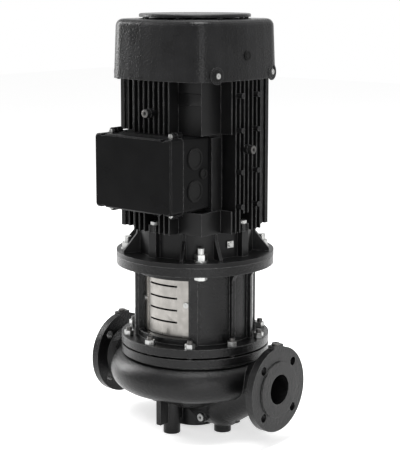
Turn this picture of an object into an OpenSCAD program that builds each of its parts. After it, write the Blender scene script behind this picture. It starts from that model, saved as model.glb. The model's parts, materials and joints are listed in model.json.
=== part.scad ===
// Single-stage in-line pump, close-coupled to a vertical flange motor.
// The origin is on the shaft axis at the base. +Z runs up the shaft and +X out of the suction port.
// Angles round the shaft start at the front, -Y, and grow towards +X.

/* [Ports] */
// Distance between the two flange faces
port_span = 475; // [465:1:490]
// Height of the pipe centre above the base
axis_h = 125; // [123:1:130]
// Bore of both ports
bore_d = 65; // [60:1:67]
// Outside diameter of the port flanges
flange_d = 185; // [180:1:195]
// Thickness of a port flange with its raised face
flange_t = 20; // [18:1:24]
// Diameter of the raised sealing face
face_d = 122; // [110:1:124]
// Height of the raised sealing face
face_h = 3; // [2:0.5:4]
// Bolt circle of the port flanges
flange_pcd = 145; // [143:1:150]
// Bolt hole in the suction flange
flange_hole_d = 19; // [14:0.5:19]
// Bolt hole in the discharge flange
discharge_hole_d = 18.5; // [13.5:0.5:18.5]
// Bolts in a port flange
flange_holes = 4; // [4:4:8]

/* [Pump housing] */
// Casting wall round the water
wall = 9; // [8:0.5:10]
// Radius of the middle of the volute passage
volute_r = 147; // [144:1:149]
// Inside radius of the volute's round passage
volute_bore_r = 31; // [29:0.5:32]
// Height of the middle of the volute above the pipe centre
volute_rise = 8; // [6:1:10]
// How far the volute sits off centre towards the outlet
volute_shift = 4; // [2:0.5:6]
// Height of the bolting ring's face above the middle of the volute
throat_h = 59.5; // [58:0.5:63]
// Diameter of the bolting ring
ring_d = 330; // [326:1:336]
// Thickness of the bolting ring
ring_t = 17.5; // [16:0.5:19]
// Bolt circle of the housing studs
stud_pcd = 302; // [300:1:304]
// Number of housing studs
stud_count = 10; // [8:1:12]
// Diameter of the housing studs
stud_d = 12; // [10:1:12]
// Circle of the four feet
foot_pcd = 160; // [156:1:164]
// Diameter of a foot pad
foot_d = 38; // [34:1:40]
// Tapped hole in a foot
foot_hole_d = 14; // [12:1:14]
// Depth of the tapped hole in a foot
foot_hole_depth = 18; // [14:1:19]
// Height of the suction passage under the impeller
elbow_z = 60; // [59:1:62]

/* [Pump cover] */
// Diameter of the cover's clamped flange
cover_d = 284; // [280:1:286]
// Thickness of the cover's clamped flange
cover_t = 12.5; // [11:0.5:14]
// Gap between the housing and the motor stool
cover_gap = 4.5; // [4:0.5:6]
// Diameter of the cover's spigot in the housing
spigot_d = 240; // [236:1:242]
// Room between the impeller's back and the cover
cover_clear = 6; // [5.5:0.5:8]

/* [Impeller] */
// Outside diameter of the impeller
impeller_d = 188; // [180:1:192]
// Width of the impeller passage at its rim
impeller_w = 12; // [10:0.5:13]
// Radius of the impeller eye
eye_r = 36; // [34:0.5:38]
// Number of backward-curved vanes
vane_count = 6; // [5:1:7]
// Thickness of a vane
vane_t = 4; // [3:0.5:5]
// Running gap of the impeller neck in the wear ring
neck_gap = 0.3; // [0.25:0.05:0.4]

/* [Motor stool] */
// Height of the motor stool
stool_h = 197; // [195:1:205]
// Outside diameter of the stool's column
column_d = 260; // [256:1:264]
// Wall of the stool's column
column_wall = 15; // [13:0.5:16]
// Thickness of the stool's lower disc
stool_foot_t = 18; // [16:0.5:20]
// Thickness of the stool's top flange
stool_top_t = 19.5; // [18:0.5:22]
// Half of the angle that a window spans
window_half = 34; // [30:1:36]
// Height of the sill under a window
sill_h = 13; // [10:1:16]

/* [Coupling] */
// Outside diameter of the clamp coupling
coupling_d = 92; // [88:1:96]
// Height of the clamp coupling
coupling_h = 112; // [108:1:116]
// Diameter of the pump shaft in the coupling and seal
pump_shaft_d = 28; // [26:1:30]
// Diameter of the motor shaft end
motor_shaft_d = 42; // [38:1:44]
// Length of the motor shaft end below the flange face
shaft_end = 110; // [108:1:112]

/* [Motor] */
// Diameter of the motor flange and the stool's top flange
motor_flange_d = 350; // [346:1:356]
// Thickness of the motor flange
motor_flange_t = 10; // [9:0.5:14]
// Bolt circle of the motor flange
motor_pcd = 300; // [296:1:304]
// Diameter of the motor flange bolts
motor_bolt_d = 16; // [14:1:16]
// Diameter of the round part of the drive-end shield
shield_d = 258; // [254:1:260]
// Height of the drive-end shield above the flange face
shield_h = 65; // [62:1:70]
// Length of the finned frame
frame_len = 331; // [325:1:340]
// Outside radius of the frame's round barrel
barrel_r = 113; // [112:0.5:114]
// Wall of the frame's barrel
barrel_wall = 7; // [5:0.5:7.5]
// Distance from the axis to the corner pads' faces
pad_half = 115; // [114:0.5:120]
// Distance from the axis to the fin tips
fin_reach = 144; // [140:0.5:145]
// Distance between neighbouring fins
fin_pitch = 14.2; // [13.5:0.1:14.4]
// Thickness of a fin
fin_t = 3.2; // [2.5:0.1:4]
// Fins on each side of the frame
fins_per_side = 8; // [6:2:8]

/* [Fan cover] */
// How far the cover's rim reaches down over the frame
cover_overlap = 6; // [3:0.5:7]
// Height of the fan cover up to its flat top
hood_h = 128; // [124:1:132]
// Half of the cover's width across its flat sides
hood_half = 147; // [146:0.5:150]
// How much the cover narrows on each side up to its rounded edge
hood_draft = 4.5; // [3:0.5:6]
// Radius of the cover's corners
hood_corner_r = 54; // [48:1:60]
// Wall of the fan cover
hood_wall = 3; // [2.5:0.5:3]
// Radius of the edge round the cover's top
hood_edge_r = 16; // [12:1:20]
// Outside diameter of the fan
fan_d = 236; // [220:1:246]
// Number of fan blades
blade_count = 9; // [6:1:11]

/* [Terminal box] */
// Width of the terminal box
box_w = 217; // [213:1:220]
// Height of the terminal box
box_h = 158; // [156:1:160]
// Height of the box's lower edge above the foot of the frame
box_rise = 54; // [49:1:57]
// Distance from the shaft to the lid's face
box_reach = 204; // [200:1:208]
// Depth of the lid
lid_depth = 38; // [34:1:42]
// Wall of the box and its lid
box_wall = 5; // [4:0.5:6]

/* [Hidden] */
$fn = 96;

// General values
over = 1;              // how far a cut runs past a face
slip = 0.05;           // gap round a pin, screw or shaft in its own hole
seat_gap = 0.3;        // gap between curved faces of neighbouring pieces
quarter = 90;
hex_share = 1 / cos(30);

// Heights of the main joints, built up from the base
volute_z = axis_h + volute_rise;
housing_h = volute_z + throat_h;
stool_z = housing_h + cover_gap;
stool_foot_z = stool_z + stool_foot_t;
motor_z = stool_z + stool_h;
motor_flange_z = motor_z + motor_flange_t;
frame_z = motor_z + shield_h;
frame_top_z = frame_z + frame_len;
box_z = frame_z + box_rise;
cover_rim_z = frame_top_z - cover_overlap;

// Pump housing
flange_r = flange_d / 2;
face_r = face_d / 2;
bore_r = bore_d / 2;
ring_r = ring_d / 2;
port_end = port_span / 2;
neck_wall = 6;         // what a neck has over the volute's wall
neck_r = bore_r + wall + neck_wall;
bead = 0.6;            // how much a corner ball is larger than its pipe
neck_swell = 3;        // how much the casting swells at a corner
port_bore_len = 48;    // straight bore behind a port's face
bend_in = 54;
bend_x = port_end - bend_in;
flare_len = 14;        // cone from a neck to its flange
flare_out = 12;
elbow_x = 85;
volute_r_out = volute_bore_r + wall;
shoulder_share = 0.9;
ring_proud = 7;
throat_r = ring_r - ring_proud;
hub_r = 72;            // radius of the flat bottom of the volute
hub_drop = 78;         // from the volute's middle down to the flat bottom
hub_low_z = volute_z - hub_drop;
cone_r = 111;
cone_drop = 56;
cone_low_z = volute_z - cone_drop;
cone_r2 = 150;
chamber_r = spigot_d / 2 + seat_gap;
chamber_drop = 16;
chamber_floor_z = volute_z - chamber_drop;
wear_wall = 15;
wear_r_out = eye_r + wear_wall;
wear_seat_h = 10;
wear_low_z = chamber_floor_z - wear_seat_h;
wear_proud = 3;
wear_seat = wear_r_out + slip;
eye_pipe_r = eye_r;
recess_r = cover_d / 2 + seat_gap;
cover_seat_z = stool_z - cover_t;
stud_r = stud_d / 2;
stud_in = 20;          // how deep a stud is screwed into the housing
stud_out = 17;         // how far a stud stands above the stool's disc
nut_h = 10;
nut_af_share = 19 / 12;
nut_af = stud_d * nut_af_share;
foot_reach = foot_pcd / 2;
rib_t = 12;
boss_r = 13;           // gauge and drain bosses
boss_h = 5;
boss_in = 6;           // how deep the drain boss starts inside the neck's wall
plug_r = 5;
plug_depth = 10;
plug_collar = 3.5;
plug_collar_h = 4;
plug_socket_af = 6;
plug_socket_in = 1;    // how far the socket reaches below the collar
leg_in = 18;           // how far a leg reaches up into the volute
foot_rib_in = 30;
foot_rib_out = 14;
foot_rib_z = 26;
gauge_pad_t = flange_t - face_h;
gauge_pad_w = 32;
gauge_x = port_end - face_h - gauge_pad_t / 2;
gauge_top_z = axis_h + flange_r + boss_h;
drain_x = 57;
drain_z = 36;

// Pump cover and seal
shroud_t = 4;
impeller_z = volute_z - impeller_w / 2;
cover_low_z = impeller_z + impeller_w + shroud_t + cover_clear;
seal_r = pump_shaft_d / 2;
seal_room = 12;        // room for the seal round the shaft
chamber_bore_r = seal_r + seal_room;
seat_w = 7.5;
seat_r = seal_r + seat_w;
seat_t = 9;
seat_rise = 40;
seat_z = cover_low_z + seat_rise;
shaft_room = 1.5;      // gap round the shaft where it passes the cover and the fixed seat
neck_cap_h = 8;
neck_top_z = seat_z + seat_t + neck_cap_h;
cover_neck_t = 14;
cover_neck_r = seat_r + cover_neck_t;
seal_ring_h = 10;
seal_ring_in = 1;
dish_r_in = 50;
dish_rim = 24;
dish_r_out = spigot_d / 2 - dish_rim;
dish_floor_t = 17;
dish_z = cover_low_z + dish_floor_t;
dish_slope = 10;
groove_h = 6;
groove_in = 4;
groove_drop = 13;
groove_z = cover_seat_z - groove_drop;
o_ring_room = 1;
vent_r = (dish_r_in + dish_r_out) / 2;
vent_boss_r = 12;
vent_boss_h = 14;
vent_screw_r = 5;
vent_screw_in = 6;     // the screw's end above the cover's underside
vent_screw_af = 17;
vent_head_h = 7;

// Impeller
impeller_r = impeller_d / 2;
eye_wall = 5;
eye_neck_r = eye_r + eye_wall;
eye_end_gap = 3;
eye_low_z = wear_low_z + eye_end_gap;
hub_out_r = 20;
hub_top = 6;
hub_h = impeller_w + shroud_t + hub_top;
shaft_nose_r = 11;
nose_len = 18;
nose_low_z = impeller_z - nose_len;
nose_thread_in = 3;
nose_thread_r = shaft_nose_r - nose_thread_in;
nut_len = 11;
impeller_nut_af = 24;
hub_foot = 4;          // how far the hub reaches below the vanes
hub_flare = 6;
eye_rise = 6;          // turn of the front shroud from the eye to the vanes
eye_fillet = 12;
eye_fillet_h = 2;
vane_rim = 1;          // vanes end this far inside the rim
vane_start = 4;
vane_curve_r = 62;
vane_centre = 40;
key_w = 6;
key_h = 3;

// Stool
column_r = column_d / 2;
column_in = column_r - column_wall;
spigot_ledge = 10;
motor_spigot_r = column_in + spigot_ledge;
motor_spigot_h = 5;
spigot_end_gap = 0.5;
bolt_gap = 1;          // clearance round a bolt in its hole
post_turn = 5;         // degrees from the window's edge to the middle of a post
window_top_drop = 18;
mullion_w = 17;
mullion_proud = 6;
side_rib_t = 9;
side_rib_proud = 9;
side_rib_half = 13;
gusset = 22;

// Coupling
coupling_r = coupling_d / 2;
coupling_low = 48;
coupling_z = motor_z - shaft_end - coupling_low;
shaft_ends_gap = 2;
coupling_split = 2;
coupling_bolt_r = 5;
coupling_pocket_share = 2.1;
coupling_head_share = 1.6;
coupling_head_h = 10;
coupling_socket_af = 8;
coupling_socket_z = 4;
coupling_nut_af = 17;
coupling_nut_h = 8;
coupling_lap = 1;
coupling_bolt_low = 18;
coupling_bolt_high = 22;
coupling_bolt_out = 11;
coupling_bolt_x = motor_shaft_d / 2 + coupling_bolt_out;
coupling_flat = 27;
coupling_bolt_in = 37;

// Guards
guard_t = 1.5;
guard_r = column_in - seat_gap;
guard_back_r = guard_r - guard_t - seat_gap;
guard_low_z = stool_foot_z + sill_h + seat_gap;
guard_high_z = motor_z - stool_top_t - window_top_drop - seat_gap;
guard_h = guard_high_z - guard_low_z;
guard_edge = 0.3;      // degrees between the guard and the window's edge
guard_half = window_half - guard_edge;
guard_strip = 7;       // degrees of the strip on each side of the pressed panel
guard_panel = window_half - guard_strip;
guard_lap = 1;         // degrees that the panel's edge laps the strip
guard_step = 2.2;
slot_h = 4;
slot_half = 20;
slot_count = 4;
slot_first_share = 0.244;
slot_step_share = 0.207;
guard_screw_at = window_half - guard_strip / 2;
guard_screw_share = 0.56;
guard_screw_z = guard_low_z + guard_screw_share * guard_h;
guard_screw_r = 3;
guard_lug_w = 20;
guard_lug_t = 9;
guard_lug_turn = 2;    // degrees that a lug sits outside its screw

// Motor
flange_face_r = motor_flange_d / 2;
motor_bolt_r = motor_bolt_d / 2;
washer_t = 3;
washer_share = 0.94;
washer_r = motor_bolt_d * washer_share;
motor_nut_h = 13;
motor_head_h = 10;
motor_af_share = 1.5;
motor_bolt_af = motor_bolt_d * motor_af_share;
motor_bolt_out = 13;
shield_r = shield_d / 2;
shield_wall = 10;
post_w = 21;
post_in = 2;           // a post's face behind the fin tips
post_reach = fin_reach - post_in;
gusset_t = 7;
gusset_half = 14.8;
gusset_reach = 166;
gusset_low_h = 5;
gusset_out = 7;
gusset_top_out = 5;
gusset_top_drop = 14;
shield_floor_t = 12;
bearing_wall = 12;
bearing_lip = 6;
shaft_hole_gap = 1.5;
shaft_hole_r = motor_shaft_d / 2 + shaft_hole_gap;
frame_screw_r = 5;
frame_screw_in = 22;
frame_hole_in = 24;
frame_head_share = 3.4;
frame_head_h = 7;
head_room_w = 3;       // room over the lugs for the screw heads
head_room_in = 2;
head_room_h = 24;
frame_screw_at = 133;
lug_h = 16;
pad_in = 51;
groove_depth = 18;     // grooves that carry the fins' pattern across the corner pads
groove_depth_shares = [1, 1, 0.7, 0.35];
groove_at = fins_per_side / 2 * fin_pitch - fin_pitch / 2 + fin_t / 2;
frame_in = barrel_r - barrel_wall;
cable_hole_r = 22;
end_screw_out = 18;    // the fan-end shield's screws lie this far outside the barrel
end_screw_r = 4;
end_tap_in = 20;
end_screw_in = 18;
end_hole_room = 0.5;
end_plate_out = 26;
end_plate_t = 9;
end_spigot_h = 6;
end_hub_wall = 10;
end_hub_floor = 3;
end_hub_lip = 4;
end_bore_len = 60;
end_dish_in = 8;
end_dish_h = 10;
end_head_af = 13;
end_head_h = 5;
pedestal_back = 48;
pedestal_r = 114;
pedestal_low = 4;      // how far the pedestal reaches below the box
pedestal_high = 6;     // how far it ends below the box's top
seat_low = 5;
seat_high = 1;
box_back = 80;
box_top_z = box_z + box_h;
tap_boss_r = 5.5;
tap_boss_reach = 157;
tap_boss_y = 27.5;
tap_boss_z_shares = [0.172, 0.396, 0.665, 0.888];
knob_r = 10;
knob_in_r = 6;
knob_hole_in = 22;
knob_plug_in = 20;
plug_head_h = 10;
plug_head_share = 1.8;
knob_reach = 163;
front_knob_share = 0.776;
front_knob_z = frame_z + front_knob_share * frame_len;
side_knob_share = 0.538;
side_knob_z = frame_z + side_knob_share * frame_len;

// Bearings: 6309 at the drive end, 6209 at the fan end
drive_shaft_r = 22.5;
drive_bearing_r = 50;
drive_bearing_w = 25;
drive_bearing_in = 31;
drive_bearing_z = motor_z + drive_bearing_in;
fan_shaft_r = 22.5;
fan_bearing_r = 42.5;
fan_bearing_w = 19;
fan_bearing_drop = 38;
fan_bearing_z = frame_top_z - fan_bearing_drop;
drive_ball_r = 8.7;
fan_ball_r = 6.3;
drive_balls = 8;
fan_balls = 9;
ball_gap = 0.25;
cage_rim = 1.2;        // cage left above and below a ball
cage_share = 0.3;
race_share = 0.55;      // how far a race's shoulder reaches round the balls
bearing_cap_out = 11;
bearing_cap_t = 3;
cap_screw_head = 7;

// Rotor and stator
core_rise = 61;
core_z = frame_z + core_rise;
core_h = 180;
rotor_r = 63;
air_gap = 0.6;
stator_r_in = rotor_r + air_gap;
stator_r_out = frame_in - slip;
winding_h = 38;
winding_r_in = 70;
winding_r_out = 99;
end_ring_h = 14;
end_ring_in = 40;
end_ring_step = 2;
winding_edge = 6;
rotor_seat_step = 4;
slot_w = 4;            // balancing slots in the upper end ring
slot_in = 8;
slot_out = 9;
slot_depth = 5;
slot_cut = 6;

// Fan cover and fan
hood_top_z = cover_rim_z + hood_h;
hood_opening_r = 104;
cap_gap = 4;
cap_t = 7;
cap_r = 122;
cap_edge = 2;
cap_post_in = 12;      // posts lie this far outside the opening
cap_post_r = 5;
grille_t = 2;
grille_out = 12;
grille_first_r = 28;
grille_slot_w = 8;
grille_pitch = 13;
grille_spoke_w = 7;
rim_room = 5;          // fin tips are cut back this far inside the cover's wall
fan_rise = 24;
fan_z = frame_top_z + fan_rise;
fan_h = 46;
fan_hub_r = 30;
fan_bore_r = 19;
fan_web_t = 4;
fan_r = fan_d / 2;
blade_t = 3;
blade_root = 2;
blade_tip_w = 20;
blade_rise_w = 30;
blade_root_share = 0.6;
blade_rise_share = 0.9;
blade_tip_share = 0.8;
fan_disc_in = 14;
fan_hole_in = 12;
fan_hole_aside = 10;
fan_hole_r = 8;
fan_hole_turn = 30;
shaft_past_fan = 6;
ring_groove_in = 2;
ring_groove_h = 2;
circlip_out = 3;
circlip_in = 1.8;
circlip_t = 1.8;
circlip_gap = 8;
hood_screw_y = 93;
hood_screw_rise = 7;
hood_screw_z = frame_top_z + hood_screw_rise;
hood_screw_r = 3;
hood_screw_in = 18;
hood_hole_in = 22;
hood_head_h = 3.5;
hood_socket_low = 2;
hood_socket_af = 4;
hood_socket_h = 3;
arm_w = 16;
arm_h = 14;
arm_end = 24;
hood_sides = 72;       // points round the cover's outline
hood_turns = 5;        // rings round its top edge

// Terminal box
box_half = box_w / 2;
lid_back = box_reach - lid_depth;
gasket_t = 2;
box_front = lid_back - gasket_t;
box_corner_r = 8;
box_floor = 119;
lug_r = 8;
lid_screw_r = 3;
lid_screw_x = 85;
board_w = 110;
board_h = 70;
board_t = 12;
terminal_r = 3;
terminal_pitch = 32;
terminal_in = 3;
terminal_out = 12;
terminal_cut = 60;
terminal_nut_af = 10;
terminal_nut_h = 5;
terminal_nut_cut = 8;
board_corner_r = 6;
board_screw_r = 2;
base_lug_h = 16;
base_tap_in = 14;
lid_lug_h = 9;
lid_screw_in = 10;
lid_head_h = 4;
lid_slot_low = 2.5;
lid_slot_w = 1.4;
lid_slot_h = 2;
gasket_in = 1;
cable_plug_wall = 3;
cable_plug_t = 2.5;
cable_plug_floor = 1;
cable_big_r = 21.5;
cable_small_r = 10.5;
cable_y = 129;
cable_small_y = 102;
cable_z = 34;
cable_spots = [[cable_y, cable_z, cable_big_r], [cable_y, -cable_z, cable_big_r], [cable_small_y, 0, cable_small_r]];

// Helpers

// A tube standing on z = 0
module tube(r_out, r_in, h) {
    difference() {
        cylinder(r = r_out, h = h);
        translate([0, 0, -over])
            cylinder(r = r_in, h = h + 2 * over);
    }
}

// Children repeated round the shaft, the first one at angle start from the front
module around(count, start = 0) {
    for (i = [0 : count - 1])
        rotate([0, 0, start + i * 360 / count])
            children();
}

// Children placed at radius r and height z in the direction that around() gives
module at_front(r, z) {
    translate([0, -r, z])
        children();
}

// A bar from one side of the shaft: width across, from radius r0 to r1, height h
module front_bar(w, r0, r1, z, h) {
    translate([-w / 2, -r1, z])
        cube([w, r1 - r0, h]);
}

// A hexagon head or nut, measured across its flats
module hexagon(af, h) {
    cylinder(r = af / 2 * hex_share, h = h, $fn = 6);
}

// A pie-shaped sector of the plane round the front direction
module sector(half, r, z, h) {
    translate([0, 0, z])
        linear_extrude(height = h)
            polygon([[0, 0], for (a = [-half, -half / 2, 0, half / 2, half]) [r * sin(a), -r * cos(a)]]);
}

// A pipe between two points of the XZ plane
module pipe_xz(x0, z0, x1, z1, r) {
    run = norm([x1 - x0, z1 - z0]);
    translate([x0, 0, z0])
        rotate([0, atan2(x1 - x0, z1 - z0), 0])
            cylinder(r = r, h = run);
}

// The outline of a rectangle with rounded corners
function rounded_points(w, h, r, steps = 6) = [
    for (c = [0 : 3])
        for (i = [0 : steps])
            let (a = quarter * (c + i / steps),
                 sx = c == 0 || c == 3 ? 1 : -1,
                 sy = c < 2 ? 1 : -1)
            [sx * (w / 2 - r) + r * cos(a), sy * (h / 2 - r) + r * sin(a)]
];

// A plate with rounded corners that stands in the XZ plane, from y = 0 backwards
module upright_plate(w, h, t, r) {
    rotate([quarter, 0, 0])
        translate([0, 0, -t])
            linear_extrude(height = t)
                polygon(rounded_points(w, h, r));
}

// Pump end

module flange_body(side) {
    // side is 1 for the suction port and -1 for the discharge port
    translate([0, 0, axis_h])
        rotate([0, side * quarter, 0]) {
        translate([0, 0, port_end - flange_t])
            cylinder(r = flange_r, h = flange_t - face_h);
        translate([0, 0, port_end - flange_t])
            cylinder(r = face_r, h = flange_t);
        translate([0, 0, port_end - flange_t - flare_len])
            cylinder(r1 = neck_r + neck_swell, r2 = neck_r + flare_out, h = flare_len + slip);
    }
}

module flange_cuts(side) {
    translate([0, 0, axis_h])
        rotate([0, side * quarter, 0])
        for (i = [0 : flange_holes - 1])
            rotate([0, 0, quarter / 2 + i * 360 / flange_holes])
                translate([flange_pcd / 2, 0, port_end - flange_t - over])
                    cylinder(r = (side > 0 ? flange_hole_d : discharge_hole_d) / 2, h = flange_t + 2 * over);
}

module volute_outside() {
    translate([-volute_shift, 0, 0]) {
        rotate_extrude()
            translate([volute_r, volute_z])
                circle(r = volute_r_out);
        rotate_extrude()
            polygon([[0, hub_low_z], [hub_r, hub_low_z], [cone_r, cone_low_z],
                     [cone_r2, volute_z - volute_r_out + bead], [cone_r2, volute_z + volute_r_out * shoulder_share],
                     [0, volute_z + volute_r_out * shoulder_share]]);
    }
    translate([0, 0, volute_z])
        cylinder(r = throat_r, h = housing_h - volute_z - ring_t / 2);
    translate([0, 0, housing_h - ring_t])
        cylinder(r = ring_r, h = ring_t);
}

module foot() {
    // A round pad on a leg that a rib ties to the underside of the volute
    at_front(foot_reach, 0)
        cylinder(r = foot_d / 2, h = hub_low_z + leg_in);
    front_bar(rib_t, foot_reach - foot_rib_in, cone_r + foot_rib_out, foot_rib_z, cone_low_z);
}

module suction_way() {
    // The water's way from the port down under the impeller
    pipe_xz(port_end + over, axis_h, bend_x, axis_h, bore_r);
    translate([bend_x, 0, axis_h])
        sphere(r = bore_r + bead);
    pipe_xz(bend_x, axis_h, elbow_x, elbow_z, bore_r);
    translate([elbow_x, 0, elbow_z])
        sphere(r = bore_r + bead);
    pipe_xz(elbow_x, elbow_z, 0, elbow_z, bore_r);
    translate([0, 0, elbow_z])
        sphere(r = eye_pipe_r + bead);
    translate([0, 0, elbow_z])
        cylinder(r = eye_pipe_r, h = chamber_floor_z - elbow_z);
}

module gauge_boss(side) {
    // A flat pad on top of the flange's rim
    translate([side * gauge_x - gauge_pad_t / 2, -gauge_pad_w / 2, axis_h + flange_r - 2 * boss_h])
        cube([gauge_pad_t, gauge_pad_w, 3 * boss_h]);
}

module pump_housing() {
    color("#2b2b2c")
    difference() {
        union() {
            volute_outside();
            pipe_xz(port_end - over, axis_h, bend_x, axis_h, neck_r);
            translate([bend_x, 0, axis_h])
                sphere(r = neck_r + neck_swell / 2);
            pipe_xz(bend_x, axis_h, elbow_x, elbow_z, neck_r);
            translate([elbow_x, 0, elbow_z])
                sphere(r = neck_r + neck_swell / 2);
            pipe_xz(elbow_x, elbow_z, 0, elbow_z, neck_r);
            translate([0, 0, elbow_z - neck_r - neck_swell])
                cylinder(r = neck_r + neck_swell, h = neck_r + neck_swell);
            pipe_xz(-port_end + over, axis_h, -volute_r, axis_h, neck_r);
            for (side = [-1, 1]) {
                flange_body(side);
                gauge_boss(side);
            }
            around(4)
                foot();
            translate([drain_x, 0, drain_z])
                rotate([quarter, 0, 0])
                    cylinder(r = boss_r, h = neck_r + boss_h - boss_in);
        }
        for (side = [-1, 1])
            flange_cuts(side);
        // In from the suction port, round the volute and out on the other side
        suction_way();
        translate([-volute_shift, 0, 0])
            rotate_extrude()
                translate([volute_r, volute_z])
                    circle(r = volute_bore_r);
        // The outlet is a little wider where it leaves the volute
        pipe_xz(-port_end - over, axis_h, port_bore_len - port_end, axis_h, bore_r);
        pipe_xz(port_bore_len - port_end - over, axis_h, -volute_r, axis_h, bore_r + bead);
        translate([0, 0, chamber_floor_z])
            cylinder(r = chamber_r, h = housing_h - chamber_floor_z + over);
        translate([0, 0, cover_seat_z])
            cylinder(r = recess_r, h = cover_t + over);
        translate([0, 0, wear_low_z])
            cylinder(r = wear_seat, h = chamber_floor_z - wear_low_z + over);
        around(stud_count)
            at_front(stud_pcd / 2, housing_h - stud_in - over)
                cylinder(r = stud_r + slip, h = stud_in + 2 * over);
        around(4)
            at_front(foot_reach, -over)
                cylinder(r = foot_hole_d / 2, h = foot_hole_depth + over);
        // The feet end at the base, and tapped holes take the gauge and drain plugs
        translate([-port_end, -port_end, -port_span])
            cube([port_span, port_span, port_span]);
        for (side = [-1, 1])
            translate([side * gauge_x, 0, gauge_top_z - plug_depth])
                cylinder(r = plug_r + slip, h = plug_depth + over);
        translate([drain_x, -neck_r - boss_h + boss_in - over, drain_z])
            rotate([-quarter, 0, 0])
                cylinder(r = plug_r + slip, h = plug_depth + over);
    }
}

module wear_ring() {
    color("#8f8f8c")
    translate([0, 0, wear_low_z])
        tube(wear_r_out, eye_neck_r + neck_gap, wear_seat_h + wear_proud);
}

module pump_cover() {
    color("#353536")
    difference() {
        union() {
            rotate_extrude()
                polygon([
                    [chamber_bore_r, cover_low_z], [spigot_d / 2, cover_low_z],
                    [spigot_d / 2, groove_z], [spigot_d / 2 - groove_in, groove_z],
                    [spigot_d / 2 - groove_in, groove_z + groove_h], [spigot_d / 2, groove_z + groove_h],
                    [spigot_d / 2, cover_seat_z], [cover_d / 2, cover_seat_z],
                    [cover_d / 2, stool_z], [dish_r_out + dish_slope, stool_z],
                    [dish_r_out, dish_z], [dish_r_in, dish_z], [cover_neck_r, neck_top_z],
                    [seal_r + shaft_room, neck_top_z], [seal_r + shaft_room, seat_z + seat_t],
                    [seat_r + slip, seat_z + seat_t], [seat_r + slip, seat_z], [chamber_bore_r, seat_z]
                ]);
            at_front(vent_r, dish_z - over)
                cylinder(r = vent_boss_r, h = vent_boss_h + over);
        }
        at_front(vent_r, cover_low_z - over)
            cylinder(r = vent_screw_r + slip, h = dish_z + vent_boss_h - cover_low_z + 2 * over);
    }
}

module housing_o_ring() {
    color("#1a1a1a")
    rotate_extrude()
        translate([spigot_d / 2 - groove_in + slip, groove_z + o_ring_room])
            square([groove_in + seat_gap - 2 * slip, groove_h - 2 * o_ring_room]);
}

module seal_seat() {
    color("#9a9a95")
    translate([0, 0, seat_z + slip])
        tube(seat_r, seal_r + shaft_room, seat_t - 2 * slip);
}

module air_vent_screw() {
    color("#b9b9b4")
    at_front(vent_r, cover_low_z + vent_screw_in) {
        cylinder(r = vent_screw_r, h = dish_z + vent_boss_h - cover_low_z - vent_screw_in);
        translate([0, 0, dish_z + vent_boss_h - cover_low_z - vent_screw_in])
            hexagon(vent_screw_af, vent_head_h);
    }
}

module round_plug(depth) {
    // A threaded plug with a flat collar and a hexagon socket, its head upwards from z = 0
    difference() {
        union() {
            translate([0, 0, -depth])
                cylinder(r = plug_r, h = depth);
            cylinder(r = plug_r + plug_collar, h = plug_collar_h);
        }
        translate([0, 0, -plug_socket_in])
            hexagon(plug_socket_af, plug_collar_h + 2 * plug_socket_in);
    }
}

module drain_plug() {
    color("#b4b4b0")
    translate([drain_x, -neck_r - boss_h + boss_in, drain_z])
        rotate([quarter, 0, 0])
            round_plug(plug_depth - over);
}

module gauge_plugs() {
    color("#4a4a4a")
    for (side = [-1, 1])
        translate([side * gauge_x, 0, gauge_top_z])
            round_plug(plug_depth - over);
}

// Impeller and pump shaft

module vane() {
    intersection() {
        translate([0, vane_centre, 0])
            difference() {
                cylinder(r = vane_curve_r + vane_t / 2, h = impeller_w + 2 * slip);
                translate([0, 0, -over])
                    cylinder(r = vane_curve_r - vane_t / 2, h = impeller_w + 2 * over);
            }
        tube(impeller_r - vane_rim, eye_r + vane_start, impeller_w + 2 * slip);
        translate([0, -impeller_r, 0])
            cube([impeller_r, 2 * impeller_r, impeller_w + 2 * over]);
    }
}

module impeller() {
    color("#8c8c88")
    difference() {
        union() {
            // Front shroud with its neck, back shroud with its hub
            rotate_extrude()
                polygon([[eye_r, eye_low_z], [eye_neck_r, eye_low_z], [eye_neck_r, impeller_z - shroud_t - eye_fillet_h],
                         [eye_neck_r + eye_fillet, impeller_z - shroud_t], [impeller_r, impeller_z - shroud_t],
                         [impeller_r, impeller_z], [eye_r + eye_rise, impeller_z], [eye_r, impeller_z - eye_rise]]);
            rotate_extrude()
                polygon([[0, impeller_z - hub_foot], [hub_out_r - hub_flare, impeller_z - hub_foot],
                         [hub_out_r + hub_flare, impeller_z + impeller_w],
                         [impeller_r, impeller_z + impeller_w], [impeller_r, impeller_z + impeller_w + shroud_t],
                         [hub_out_r, impeller_z + impeller_w + shroud_t],
                         [hub_out_r, impeller_z + hub_h],
                         [0, impeller_z + hub_h]]);
            translate([0, 0, impeller_z - slip])
                around(vane_count)
                    vane();
        }
        translate([0, 0, impeller_z - hub_foot - over])
            cylinder(r = shaft_nose_r + slip, h = hub_foot + hub_h + 2 * over);
        front_bar(key_w, shaft_nose_r - key_h, shaft_nose_r + key_h, impeller_z - hub_foot - over,
                  hub_foot + hub_h + 2 * over);
    }
}

module impeller_nut() {
    color("#a8a8a4")
    translate([0, 0, impeller_z - hub_foot - nut_len - slip])
        difference() {
            hexagon(impeller_nut_af, nut_len);
            translate([0, 0, -over])
                cylinder(r = nose_thread_r + slip, h = nut_len + 2 * over);
        }
}

module impeller_key() {
    color("#a0a09c")
    front_bar(key_w - 2 * slip, shaft_nose_r - key_h + slip, shaft_nose_r + key_h - slip, impeller_z,
              impeller_w);
}

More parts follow.
